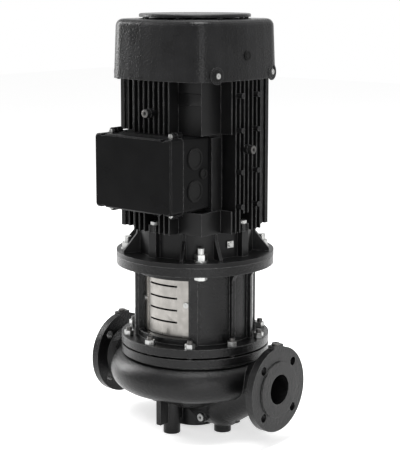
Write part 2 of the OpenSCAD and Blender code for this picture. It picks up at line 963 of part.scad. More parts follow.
module pump_shaft() {
    color("#b8b8b4")
    difference() {
        union() {
            translate([0, 0, nose_low_z])
                cylinder(r = nose_thread_r, h = nose_len - hub_foot);
            translate([0, 0, impeller_z - hub_foot])
                cylinder(r = shaft_nose_r, h = hub_foot + hub_h + slip);
            translate([0, 0, impeller_z + hub_h + slip])
                cylinder(r = seal_r, h = motor_z - shaft_end - shaft_ends_gap - impeller_z - hub_h);
        }
        front_bar(key_w, shaft_nose_r - key_h, shaft_nose_r + key_h, impeller_z - slip, impeller_w + 2 * slip);
    }
}

module seal_ring() {
    color("#3a3a3a")
    translate([0, 0, seat_z - seal_ring_h - 2 * slip])
        tube(seat_r - seal_ring_in, seal_r + slip, seal_ring_h);
}

// A helical spring round the shaft, from the impeller's hub to the seal ring
spring_room = 5;
spring_r = seal_r + spring_room;
spring_wire_r = 1.4;
spring_turns = 4;
spring_steps = 16;
spring_sides = 6;
spring_low_z = impeller_z + hub_h + spring_wire_r + seat_gap;
spring_high_z = seat_z - seal_ring_h - 2 * slip - spring_wire_r - seat_gap;

module seal_spring() {
    count = spring_turns * spring_steps;
    points = [
        for (i = [0 : count])
            for (k = [0 : spring_sides - 1])
                let (a = i * 360 / spring_steps,
                     b = k * 360 / spring_sides,
                     r = spring_r + spring_wire_r * cos(b))
                [r * cos(a), r * sin(a),
                 spring_low_z + (spring_high_z - spring_low_z) * i / count + spring_wire_r * sin(b)]
    ];
    sides = [
        for (i = [0 : count - 1])
            for (k = [0 : spring_sides - 1])
                let (m = (k + 1) % spring_sides)
                [i * spring_sides + k, (i + 1) * spring_sides + k, (i + 1) * spring_sides + m,
                 i * spring_sides + m]
    ];
    first = [for (k = [0 : spring_sides - 1]) k];
    last = [for (k = [spring_sides - 1 : -1 : 0]) count * spring_sides + k];
    color("#a6a6a2")
    polyhedron(points = points, faces = concat([first], sides, [last]));
}

// Motor stool and guards

module window_cut(half) {
    intersection() {
        sector(half, 2 * column_r, stool_foot_z + sill_h,
               motor_z - stool_top_t - window_top_drop - stool_foot_z - sill_h);
        tube(column_r + mullion_proud + over, column_in - over, motor_z);
    }
}

module motor_stool() {
    color("#262627")
    for (turn = [0, 180])
        for (s = [-1, 1])
            rotate([0, 0, turn])
                guard_lug(s);
    color("#262627")
    difference() {
        union() {
            translate([0, 0, stool_z])
                cylinder(r = ring_r, h = stool_foot_t);
            translate([0, 0, stool_z + over])
                cylinder(r = column_r, h = stool_h - 2 * over);
            translate([0, 0, motor_z - stool_top_t])
                cylinder(r = flange_face_r, h = stool_top_t);
            // Thick window posts
            for (turn = [0, 180])
                for (s = [-1, 1])
                    rotate([0, 0, turn + s * (window_half + post_turn)])
                        front_bar(mullion_w, column_in + over, column_r + mullion_proud, stool_foot_z - over,
                                  stool_h - stool_foot_t - stool_top_t + 2 * over);
            // A pair of ribs on each side, with a gusset at each end
            for (turn = [quarter, -quarter])
                for (s = [-1, 1])
                    rotate([0, 0, turn + s * side_rib_half])
                        side_rib();
        }
        translate([0, 0, stool_z - over])
            cylinder(r = column_in, h = stool_h + 2 * over);
        translate([0, 0, motor_z - motor_spigot_h - spigot_end_gap])
            cylinder(r = motor_spigot_r + slip, h = motor_spigot_h + over);
        for (turn = [0, 180])
            rotate([0, 0, turn])
                window_cut(window_half);
        around(stud_count)
            at_front(stud_pcd / 2, stool_z - over)
                cylinder(r = stud_r + bolt_gap, h = stool_foot_t + 2 * over);
        around(4, quarter / 2)
            at_front(motor_pcd / 2, motor_z - stool_top_t - over)
                cylinder(r = motor_bolt_r + bolt_gap, h = stool_top_t + 2 * over);
    }
}

module side_rib() {
    low = stool_foot_z - over;
    high = motor_z - stool_top_t + over;
    rotate([0, 0, -quarter])
        rotate([quarter, 0, 0])
            translate([0, 0, -side_rib_t / 2])
                linear_extrude(height = side_rib_t)
                    polygon([[column_in + over, low], [column_r + side_rib_proud, low],
                             [column_r + side_rib_proud, high - gusset], [column_r + gusset, high],
                             [column_in + over, high]]);
}

module guard_lug(s) {
    // A lug behind the guard, joined to the column beside the window
    difference() {
        rotate([0, 0, s * (guard_screw_at + guard_lug_turn)])
            front_bar(guard_lug_w, guard_back_r - guard_lug_t, column_in + over,
                      guard_screw_z - guard_lug_w / 2, guard_lug_w);
        intersection() {
            sector(window_half, 2 * column_r, guard_screw_z - guard_lug_w, 2 * guard_lug_w);
            tube(column_r, guard_back_r, motor_z);
        }
        rotate([0, 0, s * guard_screw_at])
            translate([0, -guard_back_r - over, guard_screw_z])
                rotate([-quarter, 0, 0])
                    cylinder(r = guard_screw_r + slip, h = guard_lug_t + 3 * over);
    }
}

module arc_wall(r_out, t, a0, a1, z0, z1) {
    // A curved sheet round the shaft between two angles from the front
    rotate([0, 0, a0 - quarter])
        translate([0, 0, z0])
            rotate_extrude(angle = a1 - a0)
                translate([r_out - t, 0])
                    square([t, z1 - z0]);
}

module coupling_guard() {
    // The middle is pressed inwards, and its slots let the coupling be seen
    difference() {
        union() {
            arc_wall(guard_r - guard_step, guard_t, -guard_panel, guard_panel, guard_low_z, guard_high_z);
            for (s = [-1, 1]) {
                arc_wall(guard_r, guard_t, s > 0 ? guard_panel - guard_lap : -guard_half,
                         s > 0 ? guard_half : -guard_panel + guard_lap, guard_low_z, guard_high_z);
                arc_wall(guard_r - slip, guard_step + guard_t - 2 * slip, s > 0 ? guard_panel - guard_lap : -guard_panel,
                         s > 0 ? guard_panel : -guard_panel + guard_lap, guard_low_z + slip, guard_high_z - slip);
            }
        }
        for (i = [0 : slot_count - 1])
            intersection() {
                sector(slot_half, 2 * column_r,
                       guard_low_z + (slot_first_share + i * slot_step_share) * guard_h - slot_h / 2, slot_h);
                tube(guard_r - guard_step + over, guard_r - guard_step - guard_t - over, motor_z);
            }
        for (s = [-1, 1])
            rotate([0, 0, s * guard_screw_at])
                translate([0, -guard_r - over, guard_screw_z])
                    rotate([-quarter, 0, 0])
                        cylinder(r = guard_screw_r + slip, h = guard_t + 2 * over);
    }
}

module coupling_guard_front() {
    color("#b9b6b0")
    coupling_guard();
}

module coupling_guard_rear() {
    color("#b9b6b0")
    rotate([0, 0, 180])
        coupling_guard();
}

module guard_screws() {
    color("#c9c9c6")
    for (turn = [0, 180])
        for (s = [-1, 1])
            rotate([0, 0, turn + s * guard_screw_at])
                translate([0, -guard_r, guard_screw_z])
                    rotate([quarter, 0, 0]) {
                        translate([0, 0, -guard_lug_t])
                            cylinder(r = guard_screw_r, h = guard_lug_t + 2 * slip);
                        translate([0, 0, slip])
                            difference() {
                                cylinder(r = 2 * guard_screw_r, h = guard_screw_r);
                                translate([0, 0, guard_screw_r / 2])
                                    hexagon(guard_screw_r, guard_screw_r);
                            }
                    }
}

module housing_studs() {
    color("#3a3a3a")
    around(stud_count)
        at_front(stud_pcd / 2, housing_h - stud_in + over)
            cylinder(r = stud_r, h = stud_in - over + cover_gap + stool_foot_t + stud_out);
}

module housing_nuts() {
    color("#c8c8c4")
    around(stud_count)
        at_front(stud_pcd / 2, stool_foot_z)
            difference() {
                hexagon(nut_af, nut_h);
                translate([0, 0, -over])
                    cylinder(r = stud_r + slip, h = nut_h + 2 * over);
            }
}

// Coupling

module coupling_half() {
    // Half of a split sleeve, with four flats for its clamp screws
    difference() {
        translate([0, 0, coupling_z])
            cylinder(r = coupling_r, h = coupling_h);
        translate([-coupling_r - over, -coupling_split / 2, coupling_z - over])
            cube([2 * coupling_r + 2 * over, coupling_r + coupling_split + over, coupling_h + 2 * over]);
        translate([0, 0, coupling_z - over])
            cylinder(r = seal_r + slip, h = motor_z - shaft_end - coupling_z + over);
        translate([0, 0, motor_z - shaft_end - coupling_lap])
            cylinder(r = motor_shaft_d / 2 + slip, h = coupling_h);
        coupling_screw_places()
            translate([0, 0, coupling_flat]) {
                translate([0, 0, -coupling_r - coupling_flat])
                    cylinder(r = coupling_bolt_r + slip, h = 2 * coupling_r);
                cylinder(r = coupling_bolt_r * coupling_pocket_share, h = coupling_r);
            }
    }
}

module coupling_screw_places() {
    for (x = [-coupling_bolt_x, coupling_bolt_x])
        for (z = [coupling_z + coupling_bolt_low, coupling_z + coupling_h - coupling_bolt_high])
            translate([x, 0, z])
                rotate([quarter, 0, 0])
                    children();
}

module coupling_half_front() {
    color("#5b5b5d")
    coupling_half();
}

module coupling_half_rear() {
    color("#5b5b5d")
    rotate([0, 0, 180])
        coupling_half();
}

module coupling_bolts() {
    color("#8a8a88")
    coupling_screw_places()
        translate([0, 0, coupling_flat]) {
            translate([0, 0, -coupling_flat - coupling_bolt_in])
                cylinder(r = coupling_bolt_r, h = coupling_flat + coupling_bolt_in);
            difference() {
                cylinder(r = coupling_bolt_r * coupling_head_share, h = coupling_head_h);
                translate([0, 0, coupling_socket_z])
                    hexagon(coupling_socket_af, coupling_head_h);
            }
            translate([0, 0, -2 * coupling_flat - coupling_nut_h])
                difference() {
                    hexagon(coupling_nut_af, coupling_nut_h);
                    translate([0, 0, -over])
                        cylinder(r = coupling_bolt_r + slip, h = coupling_nut_h + 2 * over);
                }
        }
}

// Motor: drive-end shield

module shield_gusset() {
    rotate([0, 0, -quarter])
        rotate([quarter, 0, 0])
            translate([0, 0, -gusset_t / 2])
                linear_extrude(height = gusset_t)
                    polygon([[shield_r - shield_wall + over, motor_flange_z - over],
                             [gusset_reach, motor_flange_z - over],
                             [gusset_reach, motor_flange_z + gusset_low_h], [shield_r + gusset_out, frame_z - gusset_top_drop],
                             [shield_r + gusset_top_out, frame_z - over], [shield_r - shield_wall + over, frame_z - over]]);
}

module drive_end_shield() {
    color("#232324")
    difference() {
        union() {
            translate([0, 0, motor_z])
                cylinder(r = flange_face_r, h = motor_flange_t);
            translate([0, 0, motor_z - motor_spigot_h])
                cylinder(r = motor_spigot_r, h = motor_spigot_h + over);
            translate([0, 0, motor_z + over])
                cylinder(r = shield_r, h = shield_h - over);
            around(4)
                front_bar(post_w, shield_r - shield_wall + over, post_reach, motor_z + over, shield_h - over);
            around(4, quarter / 2)
                for (s = [-1, 1])
                    rotate([0, 0, s * gusset_half])
                        shield_gusset();
        }
        // Open bell above the floor, with a bearing housing in the middle
        difference() {
            translate([0, 0, motor_flange_z + shield_floor_t - motor_flange_t])
                cylinder(r = shield_r - shield_wall, h = shield_h);
            translate([0, 0, motor_z])
                cylinder(r = drive_bearing_r + bearing_wall, h = drive_bearing_z + drive_bearing_w - motor_z);
        }
        translate([0, 0, drive_bearing_z])
            cylinder(r = drive_bearing_r + slip, h = shield_h);
        translate([0, 0, motor_z + shield_floor_t])
            cylinder(r = drive_bearing_r - bearing_lip, h = shield_h);
        translate([0, 0, motor_z - motor_spigot_h - over])
            cylinder(r = shaft_hole_r, h = shield_h);
        around(4, quarter / 2)
            at_front(motor_pcd / 2, motor_z - over)
                cylinder(r = motor_bolt_r + bolt_gap, h = motor_flange_t + 2 * over);
        around(4)
            at_front(frame_screw_at, frame_z - frame_hole_in)
                cylinder(r = frame_screw_r + slip, h = frame_hole_in + over);
        earth_place()
            translate([0, 0, -earth_hole_in])
                cylinder(r = earth_r + slip, h = earth_hole_in + earth_head_h);
        for (i = [0 : 2])
            rotate([0, 0, i * 120])
                at_front(cap_screw_at, drive_bearing_z - over)
                    cylinder(r = cap_screw_r + slip, h = drive_bearing_w + 2 * over);
    }
}

// Where the earth screw stands on the shield's wall
earth_angle = 75;
earth_rise = 39;
earth_z = motor_z + earth_rise;
earth_r = 3;
earth_in = 7;
earth_len = 16;
earth_hole_in = 8;
earth_washer_t = 1.5;
earth_clip_w = 16;
earth_clip_h = 14;
earth_clip_t = 2.5;
earth_clip_at = 1.6;
earth_nut_at = 4.2;
earth_nut_af = 10;
earth_head_h = 4;
cap_screw_r = 2.5;
cap_screw_out = 6;
cap_screw_at = drive_bearing_r + cap_screw_out;
cap_screw_in = 12;

module earth_place() {
    rotate([0, 0, earth_angle])
        translate([0, -shield_r, earth_z])
            rotate([quarter, 0, 0])
                children();
}

module earth_terminal() {
    color("#c6c6c0")
    earth_place() {
        translate([0, 0, -earth_in])
            cylinder(r = earth_r, h = earth_len);
        translate([0, 0, seat_gap])
            tube(2 * earth_r, earth_r + slip, earth_washer_t);
        translate([-earth_clip_w / 2, -earth_clip_h / 2, seat_gap + earth_clip_at])
            difference() {
                cube([earth_clip_w, earth_clip_h, earth_clip_t]);
                translate([earth_clip_w / 2, earth_clip_h / 2, -over])
                    cylinder(r = earth_r + slip, h = 2 * earth_clip_t);
            }
        translate([0, 0, seat_gap + earth_nut_at])
            difference() {
                hexagon(earth_nut_af, earth_head_h);
                translate([0, 0, -over])
                    cylinder(r = earth_r + slip, h = earth_head_h + 2 * over);
            }
    }
}

module flange_bolts() {
    color("#b9b9b4")
    around(4, quarter / 2)
        at_front(motor_pcd / 2, motor_z - stool_top_t) {
            translate([0, 0, -motor_head_h])
                hexagon(motor_bolt_af, motor_head_h);
            translate([0, 0, -over])
                cylinder(r = motor_bolt_r,
                         h = over + stool_top_t + motor_flange_t + washer_t + motor_nut_h + motor_bolt_out);
        }
}

module flange_washers() {
    color("#c9c9c4")
    around(4, quarter / 2)
        at_front(motor_pcd / 2, motor_flange_z)
            tube(washer_r, motor_bolt_r + slip, washer_t);
}

module flange_nuts() {
    color("#c4c4bf")
    around(4, quarter / 2)
        at_front(motor_pcd / 2, motor_flange_z + washer_t)
            difference() {
                hexagon(motor_bolt_af, motor_nut_h);
                translate([0, 0, -over])
                    cylinder(r = motor_bolt_r + slip, h = motor_nut_h + 2 * over);
            }
}

module shield_screws() {
    color("#c9c9c4")
    around(4)
        at_front(frame_screw_at, frame_z - frame_screw_in) {
            cylinder(r = frame_screw_r, h = frame_screw_in + lug_h);
            translate([0, 0, frame_screw_in + lug_h])
                hexagon(frame_screw_r * frame_head_share, frame_head_h);
        }
}

// Motor frame

module corner_pad(grooved) {
    difference() {
        translate([pad_in, pad_in])
            square(pad_half - pad_in);
        for (i = grooved ? [0 : len(groove_depth_shares) - 1] : []) {
            depth = groove_depth * groove_depth_shares[i];
            translate([groove_at + i * fin_pitch, pad_half - depth])
                square([fin_pitch - fin_t, depth + over]);
            translate([pad_half - depth, groove_at + i * fin_pitch])
                square([depth + over, fin_pitch - fin_t]);
        }
    }
}

module frame_outline() {
    circle(r = barrel_r);
    for (turn = [0 : 3])
        rotate(turn * quarter) {
            // The corner between the terminal box and the suction side stays plain
            corner_pad(turn < 3);
            for (i = [0 : fins_per_side - 1])
                translate([(i - (fins_per_side - 1) / 2) * fin_pitch - fin_t / 2, -fin_reach])
                    square([fin_t, fin_reach]);
        }
}

module tap_boss_rows() {
    // Two columns of bosses on both sides, for a terminal box on the side
    for (side = [-1, 1])
        for (y = [-tap_boss_y, tap_boss_y])
            for (share = tap_boss_z_shares)
                translate([0, y, frame_z + share * frame_len])
                    rotate([0, side * quarter, 0])
                        cylinder(r = tap_boss_r, h = tap_boss_reach);
}

module knob_bosses() {
    for (spot = [[0, front_knob_z], [180, front_knob_z], [quarter, side_knob_z], [-quarter, side_knob_z]])
        rotate([0, 0, spot[0]])
            translate([0, 0, spot[1]])
                rotate([quarter, 0, 0])
                    cylinder(r = knob_r, h = knob_reach - plug_head_h);
}

module box_seat_space() {
    // The fins and corner pads leave room for the terminal box
    difference() {
        translate([-flange_face_r, -flange_face_r, box_z - seat_low])
            cube([motor_flange_d, flange_face_r - pedestal_back, seat_low + box_h + seat_high]);
        cylinder(r = barrel_r, h = frame_top_z);
        translate([-pedestal_r, -box_back, box_z - pedestal_low])
            cube([2 * pedestal_r, box_back, pedestal_low + box_h - pedestal_high]);
    }
}

module motor_frame() {
    color("#222223")
    difference() {
        union() {
            difference() {
                translate([0, 0, frame_z])
                    linear_extrude(height = frame_len)
                        frame_outline();
                box_seat_space();
            }
            tap_boss_rows();
            knob_bosses();
            around(4)
                front_bar(post_w, barrel_r - over, post_reach, frame_z, lug_h);
        }
        translate([0, 0, frame_z - over])
            cylinder(r = frame_in, h = frame_len + 2 * over);
        // Room over the lugs for the screw heads
        around(4)
            front_bar(post_w + head_room_w, barrel_r + head_room_in, fin_reach + over, frame_z + lug_h, head_room_h);
        around(4)
            at_front(frame_screw_at, frame_z - over)
                cylinder(r = frame_screw_r + slip, h = lug_h + 2 * over);
        for (spot = [[0, front_knob_z], [180, front_knob_z], [quarter, side_knob_z], [-quarter, side_knob_z]])
            rotate([0, 0, spot[0]])
                translate([0, -knob_reach + plug_head_h - over, spot[1]])
                    rotate([-quarter, 0, 0])
                        cylinder(r = knob_in_r + slip, h = knob_hole_in + over);
        // The fin tips are cut back under the fan cover's rim
        around(4)
            front_bar(2 * (pad_in + over), hood_half - hood_wall - rim_room, fin_reach + over,
                      cover_rim_z - over, cover_overlap + 2 * over);
        // Cable hole behind the terminal box
        translate([0, 0, box_z + box_h / 2])
            rotate([quarter, 0, 0])
                cylinder(r = cable_hole_r, h = fin_reach);
        around(4, quarter / 2)
            at_front(barrel_r + end_screw_out, frame_top_z - end_tap_in)
                cylinder(r = end_screw_r + slip, h = end_tap_in + over);
    }
}

module lifting_plugs() {
    color("#2c2c2d")
    for (spot = [[0, front_knob_z], [180, front_knob_z], [quarter, side_knob_z], [-quarter, side_knob_z]])
        rotate([0, 0, spot[0]])
            translate([0, -knob_reach + plug_head_h, spot[1]])
                rotate([quarter, 0, 0]) {
                    translate([0, 0, -knob_plug_in])
                        cylinder(r = knob_in_r, h = knob_plug_in + over);
                    hexagon(knob_r * plug_head_share, plug_head_h);
                }
}

module stator_core() {
    color("#55565a")
    translate([0, 0, core_z])
        tube(stator_r_out, stator_r_in, core_h);
}

module stator_windings() {
    color("#9a5a30")
    for (z = [core_z - winding_h, core_z + core_h])
        translate([0, 0, z])
            rotate_extrude()
                polygon([
                    [winding_r_in, winding_edge], [winding_r_in + winding_edge, 0],
                    [winding_r_out - winding_edge, 0], [winding_r_out, winding_edge],
                    [winding_r_out, winding_h - winding_edge], [winding_r_out - winding_edge, winding_h],
                    [winding_r_in + winding_edge, winding_h], [winding_r_in, winding_h - winding_edge]
                ]);
}

// Bearings

module bearing_ring(r_out, r_in, w, ball_r, pitch_r, z) {
    difference() {
        translate([0, 0, z])
            tube(r_out, r_in, w);
        translate([0, 0, z + w / 2])
            rotate_extrude()
                translate([pitch_r, 0])
                    circle(r = ball_r + ball_gap);
    }
}

module bearing_cage(ball_r, pitch_r, count, w, z) {
    // Balls in a flat ribbon cage
    translate([0, 0, z + w / 2]) {
        for (i = [0 : count - 1])
            rotate([0, 0, i * 360 / count])
                translate([pitch_r, 0, 0])
                    sphere(r = ball_r);
        difference() {
            translate([0, 0, -ball_r - cage_rim])
                tube(pitch_r + ball_r * cage_share, pitch_r - ball_r * cage_share, 2 * (ball_r + cage_rim));
            for (i = [0 : count - 1])
                rotate([0, 0, i * 360 / count])
                    translate([pitch_r / 2, 0, 0])
                        rotate([0, quarter, 0])
                            cylinder(r = ball_r + ball_gap, h = pitch_r);
        }
    }
}

drive_pitch_r = (drive_bearing_r + drive_shaft_r) / 2;
fan_pitch_r = (fan_bearing_r + fan_shaft_r) / 2;

module drive_bearing_outer() {
    color("#a9a9a6")
    bearing_ring(drive_bearing_r, drive_pitch_r + drive_ball_r * race_share, drive_bearing_w, drive_ball_r, drive_pitch_r,
                 drive_bearing_z);
}

module drive_bearing_inner() {
    color("#a9a9a6")
    bearing_ring(drive_pitch_r - drive_ball_r * race_share, drive_shaft_r + slip, drive_bearing_w, drive_ball_r,
                 drive_pitch_r, drive_bearing_z);
}

module drive_bearing_cage() {
    color("#b59a55")
    bearing_cage(drive_ball_r, drive_pitch_r, drive_balls, drive_bearing_w, drive_bearing_z);
}

module fan_bearing_outer() {
    color("#a9a9a6")
    bearing_ring(fan_bearing_r, fan_pitch_r + fan_ball_r * race_share, fan_bearing_w, fan_ball_r, fan_pitch_r,
                 fan_bearing_z);
}

module fan_bearing_inner() {
    color("#a9a9a6")
    bearing_ring(fan_pitch_r - fan_ball_r * race_share, fan_shaft_r + slip, fan_bearing_w, fan_ball_r, fan_pitch_r,
                 fan_bearing_z);
}

module fan_bearing_cage() {
    color("#b59a55")
    bearing_cage(fan_ball_r, fan_pitch_r, fan_balls, fan_bearing_w, fan_bearing_z);
}

module drive_bearing_cap() {
    color("#3a3a3a")
    translate([0, 0, drive_bearing_z + drive_bearing_w]) {
        tube(drive_bearing_r + bearing_cap_out, drive_pitch_r + drive_ball_r * race_share, bearing_cap_t);
        for (i = [0 : 2])
            rotate([0, 0, i * 120])
                at_front(cap_screw_at, -cap_screw_in)
                    cylinder(r = cap_screw_r, h = cap_screw_in + cap_screw_head);
    }
}

// Rotor

module motor_shaft() {
    color("#b6b6b2")
    difference() {
        union() {
            translate([0, 0, motor_z - shaft_end])
                cylinder(r = motor_shaft_d / 2, h = drive_bearing_z - motor_z + shaft_end);
            translate([0, 0, drive_bearing_z - over])
                cylinder(r = drive_shaft_r, h = drive_bearing_w + 2 * over);
            translate([0, 0, drive_bearing_z + drive_bearing_w])
                cylinder(r = drive_shaft_r + rotor_seat_step, h = fan_bearing_z - drive_bearing_z - drive_bearing_w);
            translate([0, 0, fan_bearing_z - over])
                cylinder(r = fan_shaft_r, h = fan_bearing_w + 2 * over);
            translate([0, 0, fan_bearing_z + fan_bearing_w])
                cylinder(r = fan_bore_r, h = fan_z + fan_h + shaft_past_fan - fan_bearing_z - fan_bearing_w);
        }
        // Groove for the fan's ring
        translate([0, 0, fan_z + fan_h + slip])
            tube(fan_bore_r + over, fan_bore_r - ring_groove_in, ring_groove_h);
    }
}

module rotor_core() {
    color("#6a6a6c")
    translate([0, 0, core_z])
        tube(rotor_r, drive_shaft_r + rotor_seat_step + slip, core_h);
}

module rotor_end_rings() {
    color("#a8a9ab")
    for (z = [core_z - end_ring_h, core_z + core_h])
        translate([0, 0, z])
            difference() {
                tube(rotor_r - end_ring_step, end_ring_in, end_ring_h);
                if (z > core_z)
                    around(12)
                        front_bar(slot_w, end_ring_in + slot_in, rotor_r - slot_out, end_ring_h - slot_depth, slot_cut);
            }
}

module fan_circlip() {
    color("#4b4b4b")
    difference() {
        translate([0, 0, fan_z + fan_h + 2 * slip])
            tube(fan_bore_r + circlip_out, fan_bore_r - circlip_in, circlip_t);
        front_bar(circlip_gap, 0, fan_bore_r + shaft_past_fan, fan_z, fan_h + shaft_past_fan);
    }
}

module fan() {
    color("#262626")
    difference() {
        union() {
            translate([0, 0, fan_z])
                cylinder(r = fan_hub_r, h = fan_h);
            translate([0, 0, fan_z])
                cylinder(r = fan_r - fan_disc_in, h = fan_web_t);
            around(blade_count)
                rotate([0, 0, -quarter])
                    rotate([quarter, 0, 0])
                        translate([0, 0, -blade_t / 2])
                            linear_extrude(height = blade_t)
                                polygon([
                                    [fan_hub_r - blade_root, fan_z + over], [fan_r, fan_z + over],
                                    [fan_r, fan_z + fan_h * blade_tip_share], [fan_r - blade_tip_w, fan_z + fan_h],
                                    [fan_hub_r + blade_rise_w, fan_z + fan_h * blade_rise_share],
                                    [fan_hub_r - blade_root, fan_z + fan_h * blade_root_share]
                                ]);
        }
        translate([0, 0, fan_z - over])
            cylinder(r = fan_bore_r + slip, h = fan_h + 2 * over);
        around(6)
            at_front((fan_hub_r + fan_r) / 2 - fan_hole_in, fan_z - over)
                rotate([0, 0, fan_hole_turn])
                    translate([0, -fan_hole_aside, 0])
                        cylinder(r = fan_hole_r, h = fan_web_t + 2 * over);
    }
}

// Fan end

module fan_end_shield() {
    color("#232324")
    difference() {
        union() {
            translate([0, 0, frame_top_z])
                cylinder(r = barrel_r + end_plate_out, h = end_plate_t);
            translate([0, 0, frame_top_z - end_spigot_h])
                cylinder(r = frame_in - slip, h = end_spigot_h + over);
            translate([0, 0, fan_bearing_z - end_hub_floor])
                cylinder(r = fan_bearing_r + end_hub_wall, h = frame_top_z - fan_bearing_z + end_hub_floor + over);
            for (sx = [-1, 1])
                for (sy = [-1, 1])
                    translate([sx > 0 ? 0 : -arm_reach, sy * hood_screw_y - arm_w / 2, frame_top_z]) {
                        translate([sx > 0 ? pad_in : 0, 0, 0])
                            cube([arm_reach - pad_in, arm_w, end_plate_t]);
                        translate([sx > 0 ? arm_reach - arm_end : 0, 0, 0])
                            cube([arm_end, arm_w, arm_h]);
                    }
        }
        translate([0, 0, fan_bearing_z])
            cylinder(r = fan_bearing_r + slip, h = fan_bearing_w);
        translate([0, 0, fan_bearing_z - end_hub_floor - over])
            cylinder(r = fan_bearing_r - end_hub_lip, h = end_bore_len);
        // The plate is dished between its spigot and the bearing
        translate([0, 0, frame_top_z - end_spigot_h - over])
            tube(frame_in - end_dish_in, fan_bearing_r + end_hub_wall, end_dish_h);
        around(4, quarter / 2)
            at_front(barrel_r + end_screw_out, frame_top_z - over)
                cylinder(r = end_screw_r + end_hole_room, h = end_plate_t + 2 * over);
        hood_screw_places()
            translate([0, 0, -hood_hole_in])
                cylinder(r = hood_screw_r + slip, h = hood_hole_in);
    }
}

module fan_shield_screws() {
    color("#8d8d8a")
    around(4, quarter / 2)
        at_front(barrel_r + end_screw_out, frame_top_z - end_screw_in) {
            cylinder(r = end_screw_r, h = end_screw_in + end_plate_t);
            translate([0, 0, end_screw_in + end_plate_t])
                hexagon(end_head_af, end_head_h);
        }
}

// The fan cover's outline is a square with slightly arched sides and round corners.
// Each side is an arc of a large circle that meets the corner's arc at side_turn.
side_turn = 8;
side_arc_r = (hood_half - hood_corner_r * (cos(side_turn) - sin(side_turn))) / (1 - cos(side_turn) + sin(side_turn));
corner_at = (side_arc_r - hood_corner_r) * sin(side_turn);
lean_h = hood_top_z - hood_edge_r - cover_rim_z;
lean = atan(hood_draft / lean_h);
arm_reach = hood_x(hood_screw_y + arm_w / 2) - hood_wall - seat_gap - hood_lean(frame_top_z + arm_h);

// How far the cover's side has come in at height z
function hood_lean(z) = hood_draft * (z - cover_rim_z) / lean_h;

// Half the cover's width at a distance y from the middle of its side
function hood_x(y) =
    y < corner_at + hood_corner_r * sin(side_turn)
    ? hood_half - side_arc_r + sqrt(side_arc_r * side_arc_r - y * y)
    : corner_at + sqrt(hood_corner_r * hood_corner_r - (y - corner_at) * (y - corner_at));

// A point of the outline where it faces direction a, moved inwards
function side_point(a, inwards) =
    abs(a) <= side_turn
    ? [hood_half - side_arc_r + (side_arc_r - inwards) * cos(a), (side_arc_r - inwards) * sin(a)]
    : [corner_at + (hood_corner_r - inwards) * cos(a), sign(a) * corner_at + (hood_corner_r - inwards) * sin(a)];

function hood_point(a, inwards) =
    let (turn = round(a / quarter) * quarter,
         p = side_point(a - turn, inwards))
    [p[0] * cos(turn) - p[1] * sin(turn), p[0] * sin(turn) + p[1] * cos(turn)];

// The directions that the outline is drawn at, close together on the long sides' few degrees
function hood_angle(i) =
    let (steps = hood_sides / 4,
         side = floor(i / steps),
         k = i - side * steps,
         flat_steps = 6)
    side * quarter + (k < flat_steps
                      ? -side_turn + 2 * side_turn * k / flat_steps
                      : side_turn + (quarter - 2 * side_turn) * (k - flat_steps) / (steps - flat_steps));

function hood_ring(z, inwards) = [
    for (i = [0 : hood_sides - 1])
        let (p = hood_point(hood_angle(i), inwards))
        [p[0], p[1], z]
];

function round_ring(z, r) = [
    for (i = [0 : hood_sides - 1])
        let (a = hood_angle(i))
        [r * cos(a), r * sin(a), z]
];

// Rings that turn the cover's wall over into its top
function hood_edge(top_z, r, inwards) = [
    for (k = [0 : hood_turns])
        let (t = quarter * k / hood_turns)
        hood_ring(top_z - r + r * sin(t), inwards + r * (1 - cos(t)))
];

module hood_screw_places() {
    for (sx = [0, 180])
        for (s = [-1, 1])
            rotate([0, 0, sx])
                translate([hood_x(hood_screw_y) - hood_lean(hood_screw_z), s * hood_screw_y, hood_screw_z])
                    rotate([0, quarter - lean, s * asin(hood_screw_y / side_arc_r)])
                        children();
}

module fan_cover() {
    rings = concat(
        [hood_ring(cover_rim_z, 0)],
        hood_edge(hood_top_z, hood_edge_r, hood_draft),
        [round_ring(hood_top_z, hood_opening_r), round_ring(hood_top_z - hood_wall, hood_opening_r)],
        [for (k = [hood_turns : -1 : 0])
            hood_edge(hood_top_z - hood_wall, hood_edge_r - hood_wall, hood_wall + hood_draft)[k]],
        [hood_ring(cover_rim_z, hood_wall)]
    );
    count = len(rings);
    points = [for (ring = rings) for (p = ring) p];
    faces = [
        for (j = [0 : count - 1])
            for (i = [0 : hood_sides - 1])
                let (n = (i + 1) % hood_sides,
                     m = (j + 1) % count)
                [j * hood_sides + i, m * hood_sides + i, m * hood_sides + n, j * hood_sides + n]
    ];
    color("#2d2e30")
    difference() {
        polyhedron(points = points, faces = faces);
        hood_screw_places()
            translate([0, 0, -2 * hood_wall])
                cylinder(r = hood_screw_r + slip, h = 4 * hood_wall);
        cover_plug_place()
            translate([0, 0, -2 * hood_wall])
                cylinder(r = plug_hole_r, h = 4 * hood_wall);
    }
}

plug_hole_r = 6;
cover_plug_back = 2;
cover_plug_rim = 4;
cover_plug_t = 2;
cover_plug_ring = 2;
cover_plug_low = 1;
cover_plug_rise = 52;
cover_plug_z = cover_rim_z + cover_plug_rise;

module cover_plug_place() {
    translate([hood_half - hood_lean(cover_plug_z), 0, cover_plug_z])
        rotate([0, quarter - lean, 0])
            children();
}

module cover_plug() {
    color("#1e1e1f")
    cover_plug_place() {
        translate([0, 0, -hood_wall - cover_plug_back])
            cylinder(r = plug_hole_r - slip, h = hood_wall + cover_plug_back + over);
        difference() {
            cylinder(r = plug_hole_r + cover_plug_rim, h = cover_plug_t);
            translate([0, 0, cover_plug_low])
                tube(plug_hole_r + cover_plug_ring, plug_hole_r, cover_plug_t);
        }
    }
}

